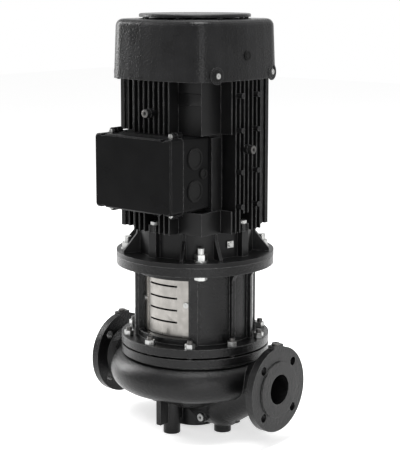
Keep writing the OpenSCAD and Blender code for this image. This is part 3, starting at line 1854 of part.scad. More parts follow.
module fan_cover_screws() {
    color("#c9c9c6")
    hood_screw_places() {
        translate([0, 0, -hood_screw_in])
            cylinder(r = hood_screw_r, h = hood_screw_in + over);
        difference() {
            cylinder(r = hood_screw_r * 2, h = hood_head_h);
            translate([0, 0, hood_socket_low])
                hexagon(hood_socket_af, hood_socket_h);
        }
    }
}

module fan_cover_cap() {
    color("#2d2e30")
    translate([0, 0, hood_top_z + cap_gap])
        rotate_extrude()
            polygon([[0, 0], [cap_r, 0], [cap_r, cap_t - cap_edge], [cap_r - cap_edge, cap_t], [0, cap_t]]);
    color("#2d2e30")
    around(8, quarter / 4)
        at_front(hood_opening_r + cap_post_in, hood_top_z)
            cylinder(r = cap_post_r, h = cap_gap + over);
}

module inlet_grille() {
    color("#2a2a2a")
    translate([0, 0, hood_top_z - hood_wall - grille_t])
        difference() {
            cylinder(r = hood_opening_r + grille_out, h = grille_t);
            for (i = [0 : 5])
                difference() {
                    translate([0, 0, -over])
                        tube(grille_first_r + grille_slot_w + grille_pitch * i, grille_first_r + grille_pitch * i,
                             grille_t + 2 * over);
                    around(8)
                        front_bar(grille_spoke_w, 0, hood_opening_r + grille_out, -2 * over, grille_t + 4 * over);
                }
        }
}

// Terminal box

module box_places() {
    translate([0, 0, box_z + box_h / 2])
        children();
}

module lid_screw_places() {
    for (sx = [-1, 1])
        for (sz = [-1, 1])
            translate([sx * lid_screw_x, 0, sz * (box_h / 2 + lug_r * 0.4)])
                children();
}

module box_lugs(y0, y1) {
    lid_screw_places()
        translate([0, y1, 0])
            rotate([quarter, 0, 0])
                cylinder(r = lug_r, h = y1 - y0);
}

module terminal_box_base() {
    color("#1d1d1e")
    difference() {
        box_places()
            difference() {
                union() {
                    translate([0, -box_front, 0])
                        upright_plate(box_w, box_h, box_front - box_back, box_corner_r);
                    box_lugs(-box_front, -box_front + base_lug_h);
                }
                translate([0, -box_front - over, 0])
                    upright_plate(box_w - 2 * box_wall, box_h - 2 * box_wall, box_front - box_floor - box_wall + over,
                                  box_corner_r - box_wall / 2);
                // Cable hole in the floor, open space behind it
                rotate([quarter, 0, 0])
                    cylinder(r = cable_hole_r, h = box_reach);
                lid_screw_places()
                    translate([0, -box_front + base_tap_in, 0])
                        rotate([quarter, 0, 0])
                            cylinder(r = lid_screw_r + slip, h = base_tap_in + over);
                for (side = [-1, 1])
                    for (spot = cable_spots)
                        cable_place(side, spot)
                            translate([0, 0, -box_wall - over])
                                cylinder(r = spot[2] - cable_plug_wall + slip, h = box_wall + 2 * over);
                for (x = [-1, 1])
                    for (z = [-1, 1])
                        translate([x * board_w / 2.4, -box_floor - box_wall - over, z * board_h / 2.6])
                            rotate([-quarter, 0, 0])
                                cylinder(r = board_screw_r + slip, h = box_wall);
            }
        cylinder(r = barrel_r + seat_gap, h = frame_top_z);
    }
}

module cable_place(side, spot) {
    translate([side * box_half, -spot[0], spot[1]])
        rotate([0, side * quarter, 0])
            children();
}

module cable_plugs() {
    color("#161617")
    box_places()
        for (side = [-1, 1])
            for (spot = cable_spots)
                cable_place(side, spot) {
                    translate([0, 0, -box_wall])
                        cylinder(r = spot[2] - cable_plug_wall, h = box_wall + slip);
                    difference() {
                        cylinder(r = spot[2], h = cable_plug_t);
                        translate([0, 0, cable_plug_floor])
                            cylinder(r = spot[2] - cable_plug_wall, h = cable_plug_t);
                    }
                }
}

module terminal_box_gasket() {
    color("#0f0f10")
    box_places()
        difference() {
            translate([0, -lid_back, 0])
                upright_plate(box_w - gasket_in, box_h - gasket_in, gasket_t, box_corner_r);
            translate([0, -lid_back - over, 0])
                upright_plate(box_w - 2 * box_wall, box_h - 2 * box_wall, gasket_t + 2 * over,
                              box_corner_r - box_wall / 2);
        }
}

module terminal_box_lid() {
    color("#28292a")
    box_places()
        difference() {
            union() {
                // The face has a bevelled edge
                translate([0, -box_reach + lid_bevel, 0])
                    upright_plate(box_w, box_h, lid_depth - lid_bevel, box_corner_r);
                rotate([quarter, 0, 0])
                    translate([0, 0, box_reach - lid_bevel])
                        lid_face();
                box_lugs(-lid_back - lid_lug_h, -lid_back);
            }
            translate([0, -box_reach + box_wall, 0])
                upright_plate(box_w - 2 * box_wall, box_h - 2 * box_wall, lid_depth, box_corner_r - box_wall / 2);
            lid_screw_places()
                translate([0, -lid_back + over, 0])
                    rotate([quarter, 0, 0])
                        cylinder(r = lid_screw_r + slip, h = lid_depth + 2 * over);
            // Room for the screw heads over the lugs
            lid_screw_places()
                translate([0, -lid_back - lid_lug_h, 0])
                    rotate([quarter, 0, 0])
                        cylinder(r = lug_r, h = lid_depth);
        }
}

lid_bevel = 3;
lid_corner_out = 1;

module lid_face() {
    // A pyramid frustum between two rounded rectangles
    low = rounded_points(box_w, box_h, box_corner_r);
    high = rounded_points(box_w - 2 * lid_bevel, box_h - 2 * lid_bevel, box_corner_r - lid_bevel + lid_corner_out);
    count = len(low);
    polyhedron(
        points = concat([for (q = low) [q[0], q[1], 0]], [for (q = high) [q[0], q[1], lid_bevel]]),
        faces = concat(
            [[for (i = [0 : count - 1]) i]],
            [[for (i = [count - 1 : -1 : 0]) count + i]],
            [for (i = [0 : count - 1]) [i, count + i, count + (i + 1) % count, (i + 1) % count]]
        )
    );
}

module lid_screws() {
    color("#c9c9c6")
    box_places()
        lid_screw_places()
            translate([0, -lid_back - lid_lug_h, 0])
                rotate([quarter, 0, 0]) {
                    translate([0, 0, -lid_lug_h - gasket_t - lid_screw_in])
                        cylinder(r = lid_screw_r, h = lid_lug_h + lid_screw_in + gasket_t + over);
                    difference() {
                        cylinder(r = lid_screw_r * 1.8, h = lid_head_h);
                        translate([0, 0, lid_slot_low])
                            front_bar(lid_slot_w, -lid_screw_r * 2, lid_screw_r * 2, 0, lid_slot_h);
                    }
                }
}

module terminal_board() {
    color("#4a2f22")
    box_places()
        difference() {
            translate([0, -box_floor - box_wall, 0])
                mirror([0, 1, 0])
                    upright_plate(board_w, board_h, board_t, board_corner_r);
            terminal_places()
                cylinder(r = terminal_r + slip, h = terminal_cut);
        }
}

module terminal_places() {
    // Two rows of three studs
    for (x = [-1, 0, 1])
        for (z = [-1, 1])
            translate([x * terminal_pitch, -box_floor - box_wall - terminal_in, z * board_h / 4])
                rotate([quarter, 0, 0])
                    children();
}

module terminal_studs() {
    color("#b58f45")
    box_places()
        terminal_places() {
            cylinder(r = terminal_r, h = board_t + terminal_out);
            translate([0, 0, board_t - terminal_in])
                difference() {
                    hexagon(terminal_nut_af, terminal_nut_h);
                    translate([0, 0, -over])
                        cylinder(r = terminal_r - slip, h = terminal_nut_cut);
                }
        }
}

pump_housing();
wear_ring();
housing_o_ring();
pump_cover();
seal_seat();
air_vent_screw();
drain_plug();
gauge_plugs();
motor_stool();
housing_studs();
housing_nuts();
coupling_guard_front();
coupling_guard_rear();
guard_screws();
drive_end_shield();
flange_bolts();
flange_nuts();
flange_washers();
shield_screws();
earth_terminal();
motor_frame();
lifting_plugs();
stator_core();
stator_windings();
fan_end_shield();
fan_shield_screws();
fan_cover();
fan_cover_screws();
fan_cover_cap();
inlet_grille();
cover_plug();
terminal_box_base();
terminal_box_gasket();
terminal_box_lid();
lid_screws();
terminal_board();
terminal_studs();
cable_plugs();
drive_bearing_outer();
fan_bearing_outer();
drive_bearing_cap();
motor_shaft();
rotor_core();
rotor_end_rings();
coupling_half_front();
coupling_half_rear();
coupling_bolts();
pump_shaft();
impeller();
impeller_nut();
impeller_key();
seal_ring();
seal_spring();
drive_bearing_inner();
fan_bearing_inner();
fan();
fan_circlip();
drive_bearing_cage();
fan_bearing_cage();
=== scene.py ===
import json
import math
from collections import namedtuple

import bmesh
import bpy
import numpy
from mathutils import Matrix, Vector

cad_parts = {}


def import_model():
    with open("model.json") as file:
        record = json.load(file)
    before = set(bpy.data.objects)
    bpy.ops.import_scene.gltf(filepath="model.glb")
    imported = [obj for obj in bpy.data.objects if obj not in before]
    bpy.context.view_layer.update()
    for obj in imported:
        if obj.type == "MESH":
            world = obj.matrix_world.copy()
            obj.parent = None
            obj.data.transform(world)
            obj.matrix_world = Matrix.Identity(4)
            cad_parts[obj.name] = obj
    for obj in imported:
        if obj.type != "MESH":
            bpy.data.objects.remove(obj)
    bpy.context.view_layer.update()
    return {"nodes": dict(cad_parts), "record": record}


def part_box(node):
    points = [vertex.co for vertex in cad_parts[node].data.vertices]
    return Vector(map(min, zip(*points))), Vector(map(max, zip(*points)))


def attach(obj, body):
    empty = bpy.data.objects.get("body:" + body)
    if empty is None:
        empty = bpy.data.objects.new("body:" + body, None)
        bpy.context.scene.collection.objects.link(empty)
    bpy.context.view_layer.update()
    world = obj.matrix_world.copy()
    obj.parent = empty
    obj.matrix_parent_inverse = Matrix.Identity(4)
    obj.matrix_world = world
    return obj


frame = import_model()
NODES = frame["nodes"]
MM = 0.001


# Shader nodes

# A Mix node's inputs and outputs, by what it mixes
MIXED_NUMBERS = (2, 3)
MIXED_NUMBER = 0
MIXED_COLOURS = (6, 7)
MIXED_COLOUR = 2

WHOLE = (0.0, 1.0)


def put(tree, kind, settings=None, values=None, links=None):
    """Adds one node: its settings, its constant inputs, and what is linked to its inputs."""
    node = tree.nodes.new(kind)
    for key, value in (settings or {}).items():
        setattr(node, key, value)
    for key, value in (values or {}).items():
        node.inputs[key].default_value = value
    for key, source in (links or {}).items():
        tree.links.new(source, node.inputs[key])
    return node


def maths(tree, operation, first, second=0.0):
    """A Math node's result; either side is a socket or a number."""
    node = put(tree, "ShaderNodeMath", {"operation": operation})
    for index, side in enumerate((first, second)):
        if isinstance(side, (int, float)):
            node.inputs[index].default_value = side
        else:
            tree.links.new(side, node.inputs[index])
    return node.outputs[0]


def spread(tree, value, reach, onto=WHOLE):
    """Maps a value's range onto another, clamped."""
    limits = {"From Min": reach[0], "From Max": reach[1], "To Min": onto[0], "To Max": onto[1]}
    node = put(tree, "ShaderNodeMapRange", {"clamp": True}, limits, {"Value": value})
    return node.outputs["Result"]


def two_tone(tree, mask, first, second):
    """Mixes two colours by a mask; either is a socket or a plain colour."""
    node = put(tree, "ShaderNodeMix", {"data_type": "RGBA"}, links={"Factor": mask})
    for index, colour in zip(MIXED_COLOURS, (first, second)):
        if isinstance(colour, tuple):
            node.inputs[index].default_value = (*colour, 1.0)
        else:
            tree.links.new(colour, node.inputs[index])
    return node.outputs[MIXED_COLOUR]


# Shader node groups, each used by several finishes

MOTTLE_REACH = (0.35, 0.65)   # of the broad noise, from one tone to the other
PIT_REACH = (0.0, 0.5)        # of the pits' distance, kept as depth
EDGE_TURN = (0.99, 0.8)       # cosine of the softened edge's turn, where the wear and painted edge highlight begin and are full
PATCH_REACH = (0.32, 0.56)    # of the patch noise, from none to full wear and painted edge highlight
STREAK_REACH = (0.3, 0.7)     # of the line noise, from one gloss to the other
EDGE_SAMPLES = 4


def new_group(name, inputs, outputs):
    """A shader node group with number inputs and the named outputs, and its two end nodes."""
    tree = bpy.data.node_groups.new(name, "ShaderNodeTree")
    for label, value in inputs.items():
        socket = tree.interface.new_socket(name=label, in_out="INPUT", socket_type="NodeSocketFloat")
        socket.default_value = value
    for label, kind in outputs.items():
        tree.interface.new_socket(name=label, in_out="OUTPUT", socket_type=kind)
    return tree, tree.nodes.new("NodeGroupInput"), tree.nodes.new("NodeGroupOutput")


def sand_grain_group():
    """The skin of a casting: fine sand grains with a few pits, and broad mottling."""
    tree, given, out = new_group("sand_grain", {"Grains": 500.0, "Pits": 160.0, "Mottles": 14.0},
                                 {"Height": "NodeSocketFloat", "Mottle": "NodeSocketFloat"})
    place = put(tree, "ShaderNodeTexCoord").outputs["Object"]
    fine = put(tree, "ShaderNodeTexNoise", values={"Detail": 3.0, "Roughness": 0.6},
               links={"Vector": place, "Scale": given.outputs["Grains"]})
    pits = put(tree, "ShaderNodeTexVoronoi", {"feature": "SMOOTH_F1"}, {"Smoothness": 0.6},
               {"Vector": place, "Scale": given.outputs["Pits"]})
    broad = put(tree, "ShaderNodeTexNoise", values={"Detail": 4.0},
                links={"Vector": place, "Scale": given.outputs["Mottles"]})
    pit_depth = spread(tree, pits.outputs["Distance"], PIT_REACH, PIT_REACH)
    height = maths(tree, "ADD", fine.outputs["Fac"], pit_depth)
    tree.links.new(height, out.inputs["Height"])
    tree.links.new(spread(tree, broad.outputs["Fac"], MOTTLE_REACH), out.inputs["Mottle"])
    return tree


def edge_wear_and_highlight_group():
    """Softened edges, and a patchy mask along them that marks both where a tool or hand has rubbed them and
    where a highlight is painted on them.
    """
    tree, given, out = new_group("edge_wear_and_highlight", {"Radius": 1.0 * MM, "Patches": 90.0},
                                 {"Normal": "NodeSocketVector", "WearAndHighlight": "NodeSocketFloat"})
    bevel = put(tree, "ShaderNodeBevel", {"samples": EDGE_SAMPLES}, links={"Radius": given.outputs["Radius"]})
    geometry = put(tree, "ShaderNodeNewGeometry")
    turn = put(tree, "ShaderNodeVectorMath", {"operation": "DOT_PRODUCT"},
               links={0: bevel.outputs["Normal"], 1: geometry.outputs["Normal"]})
    edge = spread(tree, turn.outputs["Value"], EDGE_TURN)
    place = put(tree, "ShaderNodeTexCoord").outputs["Object"]
    patch = put(tree, "ShaderNodeTexNoise", values={"Detail": 4.0, "Roughness": 0.65},
                links={"Vector": place, "Scale": given.outputs["Patches"]})
    # the mask for rubbed paint and for the painted edge highlight
    worn_and_highlit = maths(tree, "MULTIPLY", edge, spread(tree, patch.outputs["Fac"], PATCH_REACH))
    tree.links.new(bevel.outputs["Normal"], out.inputs["Normal"])
    tree.links.new(worn_and_highlit, out.inputs["WearAndHighlight"])
    return tree


def brushed_lines_group():
    """Fine lines that a belt or a lathe leaves: along the shaft, or round it."""
    tree, given, out = new_group("brushed_lines", {"Round": 1500.0, "Along": 20.0, "Turned": 0.0},
                                 {"Height": "NodeSocketFloat", "Streak": "NodeSocketFloat"})
    place = put(tree, "ShaderNodeTexCoord").outputs["Object"]
    x, y, z = put(tree, "ShaderNodeSeparateXYZ", links={"Vector": place}).outputs
    squares = maths(tree, "ADD", maths(tree, "MULTIPLY", x, x), maths(tree, "MULTIPLY", y, y))
    from_axis = maths(tree, "SQRT", squares)
    rings = maths(tree, "MULTIPLY", maths(tree, "ADD", z, from_axis), given.outputs["Round"])
    stretched = put(tree, "ShaderNodeCombineXYZ", links={
        0: maths(tree, "MULTIPLY", x, given.outputs["Round"]),
        1: maths(tree, "MULTIPLY", y, given.outputs["Round"]),
        2: maths(tree, "MULTIPLY", z, given.outputs["Along"]),
    })
    belt = put(tree, "ShaderNodeTexNoise", values={"Scale": 1.0, "Detail": 2.0},
               links={"Vector": stretched.outputs[0]})
    lathe = put(tree, "ShaderNodeTexNoise", {"noise_dimensions": "1D"}, {"Scale": 1.0, "Detail": 2.0},
                {"W": rings})
    lines = put(tree, "ShaderNodeMix", {"data_type": "FLOAT"}, links={
        "Factor": given.outputs["Turned"],
        MIXED_NUMBERS[0]: belt.outputs["Fac"],
        MIXED_NUMBERS[1]: lathe.outputs["Fac"],
    })
    tree.links.new(lines.outputs[MIXED_NUMBER], out.inputs["Height"])
    tree.links.new(spread(tree, lines.outputs[MIXED_NUMBER], STREAK_REACH), out.inputs["Streak"])
    return tree


SAND_GRAIN = sand_grain_group()
EDGE_WEAR_AND_HIGHLIGHT = edge_wear_and_highlight_group()
BRUSHED_LINES = brushed_lines_group()


# Finishes

METAL_GRAIN = {"Grains": 900.0, "Pits": 400.0, "Mottles": 60.0}
METAL_MOTTLE_GLOSS = (-0.04, 0.04)
METAL_EDGE = 0.5 * MM
MOULDED_MOTTLES = 40.0
MOULDED_EDGE = 0.6 * MM


def new_finish(name):
    """An empty material with its Principled shader."""
    material = bpy.data.materials.new(name)
    material.use_nodes = True
    tree = material.node_tree
    return material, tree, tree.nodes["Principled BSDF"]


def use_group(tree, group, values):
    """Places a node group in a material, with the material's own values."""
    return put(tree, "ShaderNodeGroup", {"node_tree": group}, values)


def lay_surface(tree, shader, colour, gloss, height, normal, depth):
    """Links a surface's colour, roughness and relief to its shader."""
    bump = put(tree, "ShaderNodeBump", values={"Strength": 1.0, "Distance": depth},
               links={"Height": height, "Normal": normal})
    tree.links.new(colour, shader.inputs["Base Color"])
    tree.links.new(gloss, shader.inputs["Roughness"])
    tree.links.new(bump.outputs["Normal"], shader.inputs["Normal"])


def painted(name, colour, mottled, worn_and_highlit, rough, grains, pits, depth, soft_edge, specular):
    """Satin paint over a cast or pressed skin, rubbed at its edges, with a highlight painted along them."""
    material, tree, shader = new_finish(name)
    grain = use_group(tree, SAND_GRAIN, {"Grains": grains, "Pits": pits})
    wear_and_highlight = use_group(tree, EDGE_WEAR_AND_HIGHLIGHT, {"Radius": soft_edge})
    body = two_tone(tree, grain.outputs["Mottle"], colour, mottled)
    # the edges take a much lighter colour: partly rubbed paint, partly a painted highlight
    whole = two_tone(tree, wear_and_highlight.outputs["WearAndHighlight"], body, worn_and_highlit)
    gloss = spread(tree, grain.outputs["Mottle"], WHOLE, rough)
    lay_surface(tree, shader, whole, gloss, grain.outputs["Height"], wear_and_highlight.outputs["Normal"], depth)
    shader.inputs["Specular IOR Level"].default_value = specular
    return material


def bare_metal(name, colour, tinted, rough, lines, along, turned, depth):
    """Plated, ground, brushed or cast metal."""
    material, tree, shader = new_finish(name)
    line = use_group(tree, BRUSHED_LINES, {"Round": lines, "Along": along, "Turned": turned})
    grain = use_group(tree, SAND_GRAIN, METAL_GRAIN)
    wear_and_highlight = use_group(tree, EDGE_WEAR_AND_HIGHLIGHT, {"Radius": METAL_EDGE})
    body = two_tone(tree, grain.outputs["Mottle"], colour, tinted)
    gloss = maths(tree, "ADD", spread(tree, line.outputs["Streak"], WHOLE, rough),
                  spread(tree, grain.outputs["Mottle"], WHOLE, METAL_MOTTLE_GLOSS))
    lay_surface(tree, shader, body, gloss, line.outputs["Height"], wear_and_highlight.outputs["Normal"], depth)
    shader.inputs["Metallic"].default_value = 1.0
    return material


def moulded(name, colour, mottled, rough, grains, depth, specular=0.4):
    """Moulded plastic, rubber, resin, carbon or ceramic."""
    material, tree, shader = new_finish(name)
    grain = use_group(tree, SAND_GRAIN, {"Grains": grains, "Pits": grains / 2, "Mottles": MOULDED_MOTTLES})
    wear_and_highlight = use_group(tree, EDGE_WEAR_AND_HIGHLIGHT, {"Radius": MOULDED_EDGE})
    body = two_tone(tree, grain.outputs["Mottle"], colour, mottled)
    gloss = spread(tree, grain.outputs["Mottle"], WHOLE, rough)
    lay_surface(tree, shader, body, gloss, grain.outputs["Height"], wear_and_highlight.outputs["Normal"], depth)
    shader.inputs["Specular IOR Level"].default_value = specular
    return material


FINISHES = {}

# Each paint's worn colour is far lighter than the paint itself: it is partly rubbed edges and partly a
# painted edge highlight.
FINISHES["casting_paint"] = painted(
    "casting_paint", colour=(0.0035, 0.0035, 0.0037), mottled=(0.008, 0.008, 0.0083),
    worn_and_highlit=(0.12, 0.12, 0.118), rough=(0.17, 0.27), grains=420.0, pits=150.0,
    depth=0.7 * MM, soft_edge=2.2 * MM, specular=0.22)
FINISHES["motor_paint"] = painted(
    "motor_paint", colour=(0.0035, 0.0035, 0.0037), mottled=(0.006, 0.006, 0.0062),
    worn_and_highlit=(0.16, 0.16, 0.162), rough=(0.28, 0.38), grains=700.0, pits=260.0,
    depth=0.18 * MM, soft_edge=1.2 * MM, specular=0.18)
FINISHES["hood_paint"] = painted(
    "hood_paint", colour=(0.006, 0.006, 0.0063), mottled=(0.011, 0.011, 0.0115),
    worn_and_highlit=(0.09, 0.09, 0.092), rough=(0.24, 0.34), grains=300.0, pits=190.0,
    depth=0.55 * MM, soft_edge=2.4 * MM, specular=0.14)
FINISHES["box_paint"] = painted(
    "box_paint", colour=(0.0025, 0.0025, 0.0027), mottled=(0.004, 0.004, 0.0042),
    worn_and_highlit=(0.14, 0.14, 0.142), rough=(0.26, 0.34), grains=500.0, pits=200.0,
    depth=0.06 * MM, soft_edge=1.4 * MM, specular=0.055)

FINISHES["zinc"] = bare_metal(
    "zinc", colour=(0.46, 0.46, 0.45), tinted=(0.36, 0.365, 0.36), rough=(0.28, 0.4),
    lines=900.0, along=300.0, turned=0.0, depth=0.02 * MM)
FINISHES["dark_stud"] = bare_metal(
    "dark_stud", colour=(0.07, 0.07, 0.07), tinted=(0.12, 0.115, 0.11), rough=(0.35, 0.5),
    lines=1200.0, along=300.0, turned=1.0, depth=0.04 * MM)
FINISHES["stainless_sheet"] = bare_metal(
    "stainless_sheet", colour=(0.31, 0.297, 0.28), tinted=(0.265, 0.255, 0.24), rough=(0.26, 0.42),
    lines=1800.0, along=14.0, turned=0.0, depth=0.02 * MM)
FINISHES["ground_steel"] = bare_metal(
    "ground_steel", colour=(0.56, 0.56, 0.55), tinted=(0.50, 0.50, 0.50), rough=(0.18, 0.28),
    lines=2500.0, along=100.0, turned=1.0, depth=0.01 * MM)
FINISHES["bearing_steel"] = bare_metal(
    "bearing_steel", colour=(0.62, 0.62, 0.62), tinted=(0.58, 0.58, 0.585), rough=(0.1, 0.16),
    lines=3000.0, along=100.0, turned=1.0, depth=0.005 * MM)
FINISHES["cast_steel"] = bare_metal(
    "cast_steel", colour=(0.42, 0.41, 0.39), tinted=(0.36, 0.355, 0.34), rough=(0.38, 0.5),
    lines=500.0, along=500.0, turned=0.0, depth=0.1 * MM)
FINISHES["raw_iron"] = bare_metal(
    "raw_iron", colour=(0.22, 0.22, 0.22), tinted=(0.17, 0.17, 0.172), rough=(0.4, 0.5),
    lines=1400.0, along=200.0, turned=1.0, depth=0.03 * MM)
FINISHES["copper_winding"] = bare_metal(
    "copper_winding", colour=(0.50, 0.18, 0.07), tinted=(0.42, 0.14, 0.05), rough=(0.25, 0.4),
    lines=700.0, along=60.0, turned=1.0, depth=0.4 * MM)
FINISHES["lamination"] = bare_metal(
    "lamination", colour=(0.28, 0.28, 0.30), tinted=(0.22, 0.22, 0.235), rough=(0.4, 0.5),
    lines=1400.0, along=60.0, turned=1.0, depth=0.1 * MM)
FINISHES["end_ring"] = bare_metal(
    "end_ring", colour=(0.62, 0.63, 0.64), tinted=(0.56, 0.57, 0.58), rough=(0.35, 0.45),
    lines=600.0, along=600.0, turned=0.0, depth=0.08 * MM)
FINISHES["bronze"] = bare_metal(
    "bronze", colour=(0.50, 0.34, 0.16), tinted=(0.44, 0.29, 0.13), rough=(0.2, 0.3),
    lines=2200.0, along=100.0, turned=1.0, depth=0.01 * MM)
FINISHES["terminal_brass"] = bare_metal(
    "terminal_brass", colour=(0.60, 0.44, 0.20), tinted=(0.54, 0.38, 0.16), rough=(0.22, 0.3),
    lines=1500.0, along=200.0, turned=0.0, depth=0.01 * MM)
FINISHES["cage_steel"] = bare_metal(
    "cage_steel", colour=(0.50, 0.46, 0.38), tinted=(0.44, 0.40, 0.32), rough=(0.18, 0.26),
    lines=1500.0, along=200.0, turned=0.0, depth=0.01 * MM)

FINISHES["board_resin"] = moulded(
    "board_resin", colour=(0.10, 0.045, 0.025), mottled=(0.085, 0.038, 0.02), rough=(0.35, 0.45),
    grains=700.0, depth=0.04 * MM)
FINISHES["black_plastic"] = moulded(
    "black_plastic", colour=(0.006, 0.006, 0.006), mottled=(0.009, 0.009, 0.009), rough=(0.42, 0.52),
    grains=900.0, depth=0.05 * MM, specular=0.1)
FINISHES["black_rubber"] = moulded(
    "black_rubber", colour=(0.011, 0.011, 0.011), mottled=(0.015, 0.015, 0.015), rough=(0.6, 0.7),
    grains=600.0, depth=0.06 * MM)
FINISHES["carbon_face"] = moulded(
    "carbon_face", colour=(0.03, 0.03, 0.03), mottled=(0.04, 0.04, 0.04), rough=(0.2, 0.3),
    grains=900.0, depth=0.01 * MM)
FINISHES["ceramic_face"] = moulded(
    "ceramic_face", colour=(0.60, 0.58, 0.54), mottled=(0.55, 0.53, 0.49), rough=(0.12, 0.2),
    grains=900.0, depth=0.01 * MM)

for part in frame["record"]["subparts"]:
    for slot in NODES[part["node"]].material_slots:
        slot.material = FINISHES[part["material_slot"]]


# Measuring the solids that the dressing pieces sit on

WELD = 0.01 * MM       # points of one solid that are this close are one point
HEAD_EDGE = 0.97       # of a head's radius: points further out are on its rim

Head = namedtuple("Head", "seat way rise radius")


def middle(points):
    """The centre of the points' box."""
    low = Vector([min(p[i] for p in points) for i in range(3)])
    high = Vector([max(p[i] for p in points) for i in range(3)])
    return (low + high) / 2


def place_in_order(points):
    """A solid's middle in whole millimetres, which sorts a node's solids the same way each run."""
    return [round(c / MM) for c in middle(points)]


def solids_of(node):
    """The points of each separate solid in a node, in metres, from left to right."""
    work = bmesh.new()
    work.from_mesh(NODES[node].data)
    bmesh.ops.remove_doubles(work, verts=work.verts, dist=WELD)
    found = set()
    solids = []
    for first in work.verts:
        if first in found:
            continue
        found.add(first)
        todo = [first]
        points = []
        while todo:
            vert = todo.pop()
            points.append(vert.co.copy())
            for edge in vert.link_edges:
                other = edge.other_vert(vert)
                if other not in found:
                    found.add(other)
                    todo.append(other)
        solids.append(points)
    work.free()
    return sorted(solids, key=place_in_order)


def length_way(points):
    """The direction that a long solid lies along, pointing away from the pump's axis."""
    cloud = numpy.array([tuple(p) for p in points])
    ways = numpy.linalg.eigh(numpy.cov((cloud - cloud.mean(axis=0)).T))[1]
    way = Vector(ways[:, -1].tolist()).normalized()
    centre = middle(points)
    return way if way.dot(Vector((centre.x, centre.y, 0))) > 0 else -way


def side_way(points):
    """Left or right, away from the pump's middle."""
    return Vector((math.copysign(1, middle(points).x), 0, 0))


def outward_way(points):
    """Away from the pump's axis, along x or y, whichever the solid lies further out on."""
    centre = middle(points)
    if abs(centre.x) > abs(centre.y):
        return Vector((math.copysign(1, centre.x), 0, 0))
    return Vector((0, math.copysign(1, centre.y), 0))


def heads_of(node, way_of):
    """Each fastener's head in a node: the middle of its seat, its way out, its height and radius."""
    heads = []
    for points in solids_of(node):
        way = way_of(points)
        centre = middle(points)
        heights = [(p - centre).dot(way) for p in points]
        reaches = [((p - centre) - way * h).length for p, h in zip(points, heights)]
        radius = max(reaches)
        seat = min(h for h, reach in zip(heights, reaches) if reach > radius * HEAD_EDGE)
        heads.append(Head(centre + way * seat, way, max(heights) - seat, radius))
    return heads


# Making pieces

SHARP_FROM = math.radians(38)


def add_piece(name, verts, faces, slot):
    """A mesh piece that rides on the pump's fixed body."""
    mesh = bpy.data.meshes.new(name)
    mesh.from_pydata([tuple(v) for v in verts], [], faces)
    work = bmesh.new()
    work.from_mesh(mesh)
    bmesh.ops.recalc_face_normals(work, faces=work.faces)
    work.to_mesh(mesh)
    work.free()
    mesh.shade_smooth()
    mesh.set_sharp_from_angle(angle=SHARP_FROM)
    piece = bpy.data.objects.new(name, mesh)
    bpy.context.scene.collection.objects.link(piece)
    mesh.materials.append(FINISHES[slot])
    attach(piece, "root")


def ring_point(radius, index, sides, height=0.0):
    """One point of a ring about the z axis."""
    a = 2 * math.pi * index / sides
    return Vector((radius * math.cos(a), radius * math.sin(a), height))


def bands(start, rings, sides, closed=False):
    """The faces between rings of points; closed joins the last ring to the first as well."""
    faces = []
    for j in range(rings if closed else rings - 1):
        low = start + j * sides
        high = start + (j + 1) % rings * sides
        for i in range(sides):
            n = (i + 1) % sides
            faces.append((low + i, low + n, high + n, high + i))
    return faces


def turned(name, profile, heads, slot, sides):
    """One mesh of a closed profile, (radius, height) in metres, turned about each head's axis."""
    verts = []
    faces = []
    for head in heads:
        turn = head.way.to_track_quat("Z", "Y").to_matrix()
        faces += bands(len(verts), len(profile), sides, closed=True)
        for radius, height in profile:
            for i in range(sides):
                verts.append(head.seat + turn @ ring_point(radius, i, sides, height))
    add_piece(name, verts, faces, slot)


def fitted(head, rows):
    """A profile from rows of: share of a head's radius, share of its height, and mm added to that."""
    return [(head.radius * across, head.rise * up + more * MM) for across, up, more in rows]


# The housing studs' threads

STUD_PITCH = 1.75 * MM
THREAD_SIDES = 24
THREAD_STEPS = 6             # rings of points to a turn of thread
THREAD_DEPTH = 0.32          # of the pitch
THREAD_CLEAR = 0.03 * MM     # off the stud's own surface
THREAD_SUNK = 0.5 * MM       # into the nut
POINT_RISE = 0.5 * MM        # the chamfered point over the thread
POINT_SHARE = 0.86           # of the stud's radius, at the end of the point
STUD_FOOT = 0.2 * MM         # the height over its lowest end that a stud is measured in


def free_ends(studs, above):
    """Where each upright stud stands free, above a height."""
    places = []
    for points in studs:
        centre = middle(points)
        top = max(p.z for p in points)
        low = Vector((centre.x, centre.y, above - THREAD_SUNK))
        places.append((low, Vector((centre.x, centre.y, top))))
    return places


def stud_radius(points):
    """Half the width of an upright stud near its lowest end."""
    foot = min(p.z for p in points)
    low = [p.x for p in points if p.z < foot + STUD_FOOT]
    return (max(low) - min(low)) / 2


def threads(name, places, radius, slot):
    """Screw threads round studs' free ends, each from a low to a high point on one axis."""
    verts = []
    faces = []
    sides = THREAD_SIDES
    for low, high in places:
        rows = max(3, round((high - low).length / STUD_PITCH * THREAD_STEPS))
        start = len(verts)
        last = start + rows * sides
        for j in range(rows + 1):
            spot = low.lerp(high, j / rows)
            fade = min(1.0, (rows - j) / THREAD_STEPS)
            for i in range(sides):
                phase = (j / THREAD_STEPS - i / sides) % 1.0
                crest = 1 - abs(2 * phase - 1)
                reach = radius + THREAD_CLEAR + THREAD_DEPTH * STUD_PITCH * crest * fade
                verts.append(spot + ring_point(reach, i, sides))
        point = high + Vector((0, 0, POINT_RISE))
        verts += [point + (verts[last + i] - high) * POINT_SHARE for i in range(sides)]
        faces += bands(start, rows + 2, sides)
        faces.append(tuple(last + sides + i for i in range(sides)))
        faces.append(tuple(start + i for i in reversed(range(sides))))
    add_piece(name, verts, faces, slot)


